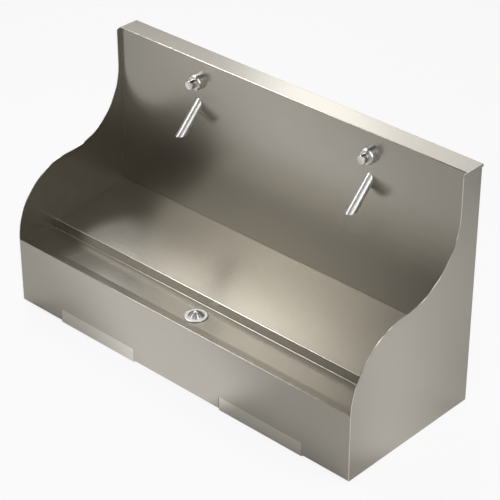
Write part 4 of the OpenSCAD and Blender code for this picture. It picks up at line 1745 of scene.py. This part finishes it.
@dataclass
class Studio:
    """Floor, lamps, world and camera."""

    lens: float = 137.5
    eye: Triple = (2.9316, -3.09035, 2.9469)
    forward: Triple = (-0.58, 0.622, -0.5255)
    lamps: tuple[Lamp, ...] = (
        Lamp("right_box", 0.0, 30.0, 0.8, 9.0, 2.0),
        Lamp("right_top_box", 0.0, 60.0, 0.8, 6.0, 2.0),
        Lamp("right_rear_box", 30.0, 25.0, 0.8, 4.5, 2.0),
        Lamp("rear_box", 120.0, 35.0, 1.2, 7.0),
        Lamp("rear_left_box", 137.0, 38.0, 1.5, 7.5),
        Lamp("key_box", 157.0, 50.0, 0.6, 20.0),
        Lamp("left_top_box", 200.0, 55.0, 0.8, 11.5, 2.0),
        Lamp("left_box", 216.0, 36.0, 1.7, 6.5),
        Lamp("front_left_box", 230.0, 32.0, 1.2, 4.2),
        Lamp("front_right_box", 310.0, 38.0, 0.8, 2.0, 2.0),
    )
    # Painted pools of light on the floor, seen only in the metal's reflections.
    pools: tuple[Pool, ...] = (
        Pool(206.0, 0.3, 0.25, 1.0),
        Pool(215.0, 0.14, 0.25, 0.5),
        Pool(50.0, -0.52, 0.24, 0.7, 0.32),
    )
    white: tuple[float, ...] = (1.0, 1.0, 1.0, 1.0)
    world_tone: tuple[float, ...] = (1.0, 0.985, 0.965, 1.0)
    world_level: float = 0.012
    wall_top: Pair = (0.03, 0.12)
    floor_size: float = 14.0
    floor_tone: tuple[float, ...] = (0.86, 0.855, 0.845, 1.0)
    floor_white: float = 0.9
    floor_mirrored: float = 0.02

    def lay_floor(self) -> None:
        """Lays the pale floor.

        It is white with a faint shadow to the camera. Metal sees a little of the white, and more of
        it in the pools, which are painted light that glows only in reflections.
        """
        bm = bmesh.new()
        bmesh.ops.create_grid(bm, x_segments=24, y_segments=24, size=self.floor_size)
        floor = Bench.solid(bm, "floor")
        material = bpy.data.materials.new("pale_floor")
        nodes = Nodes.of(material)
        plain, glossy = nodes.rays()
        place = nodes.add("ShaderNodeTexCoord").outputs["Object"]
        # The painted pools glow only to glossy rays.
        share = self.floor_mirrored
        for pool in self.pools:
            share = nodes.maths("ADD", share, pool.mask(nodes, place))
        seen = nodes.maths("MAXIMUM", nodes.maths("MULTIPLY", plain, self.floor_white),
                           nodes.maths("MULTIPLY", glossy, share))
        matt = nodes.add("ShaderNodeBsdfDiffuse", {"Color": self.floor_tone})
        glow = nodes.add("ShaderNodeEmission", {"Color": self.white})
        mix = nodes.add("ShaderNodeMixShader", {
            "Fac": seen, 1: matt.outputs[0], 2: glow.outputs[0]})
        nodes.add("ShaderNodeOutputMaterial", {"Surface": mix.outputs[0]})
        floor.data.materials.append(material)

    def set_world(self) -> None:
        """Sets a dim world, all white to the camera, with a low white wall for the metal."""
        world = bpy.data.worlds.new("studio")
        bpy.context.scene.world = world
        nodes = Nodes.of(world)
        plain, glossy = nodes.rays()
        way = nodes.add("ShaderNodeTexCoord").outputs["Generated"]
        height = nodes.add("ShaderNodeSeparateXYZ", {0: way}).outputs["Z"]
        wall = nodes.ramp(height, (self.wall_top[0], 1.0), (self.wall_top[1], 0.0))
        seen = nodes.maths("MAXIMUM", plain, nodes.maths("MULTIPLY", glossy, wall))
        soft = nodes.add("ShaderNodeBackground", {
            "Color": self.world_tone, "Strength": self.world_level})
        bright = nodes.add("ShaderNodeBackground", {"Color": self.white})
        mix = nodes.add("ShaderNodeMixShader", {
            "Fac": seen, 1: soft.outputs[0], 2: bright.outputs[0]})
        nodes.add("ShaderNodeOutputWorld", {"Surface": mix.outputs[0]})

    def set_camera(self) -> None:
        """Sets the camera at the photograph's place."""
        data = bpy.data.cameras.new("camera")
        data.lens = self.lens
        data.sensor_width = 36.0
        data.sensor_fit = "HORIZONTAL"
        data.clip_end = 100.0
        camera = bpy.data.objects.new("camera", data)
        bpy.context.scene.collection.objects.link(camera)
        camera.location = self.eye
        camera.rotation_euler = Vector(self.forward).to_track_quat("-Z", "Y").to_euler()
        bpy.context.scene.camera = camera

    def build(self) -> None:
        """Sets up the whole studio."""
        bpy.context.scene.view_settings.view_transform = "Standard"
        self.lay_floor()
        self.set_world()
        self.set_camera()
        for lamp in self.lamps:
            lamp.hang()


def main() -> None:
    """Builds the station and its studio."""
    logging.basicConfig(level=logging.INFO, format="%(name)s: %(message)s")
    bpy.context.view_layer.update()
    Studio().build()
    for side in Side:
        tap = Tap(side)
        settle_in(SidePanel(side).build())
        settle_in(FrontFoot(side).build())
        settle_in(tap.build_collar())
        settle_in(tap.build_button(), f"{side.word}_button")
        settle_in(tap.build_spout())
    for sheet in (BackPanel(), TroughPan(), FrontApron()):
        settle_in(sheet.build())
    for word, x in (("left", -STATION.pitch / 2), ("centre", 0.0), ("right", STATION.pitch / 2)):
        settle_in(Stiffener(word, x).build())
    rear = RearFrame()
    settle_in(rear.build_rail())
    for side in Side:
        settle_in(rear.build_foot(side))
        Valve(side).build()
    settle_in(rear.build_bolts())
    settle_in(rear.build_nuts())
    waste = Waste()
    for seal in waste.seals():
        settle_in(seal)
    settle_in(waste.back_nut())
    settle_in(waste.body())
    settle_in(waste.strainer())
    bpy.context.view_layer.update()


if __name__ == "__main__":
    main()
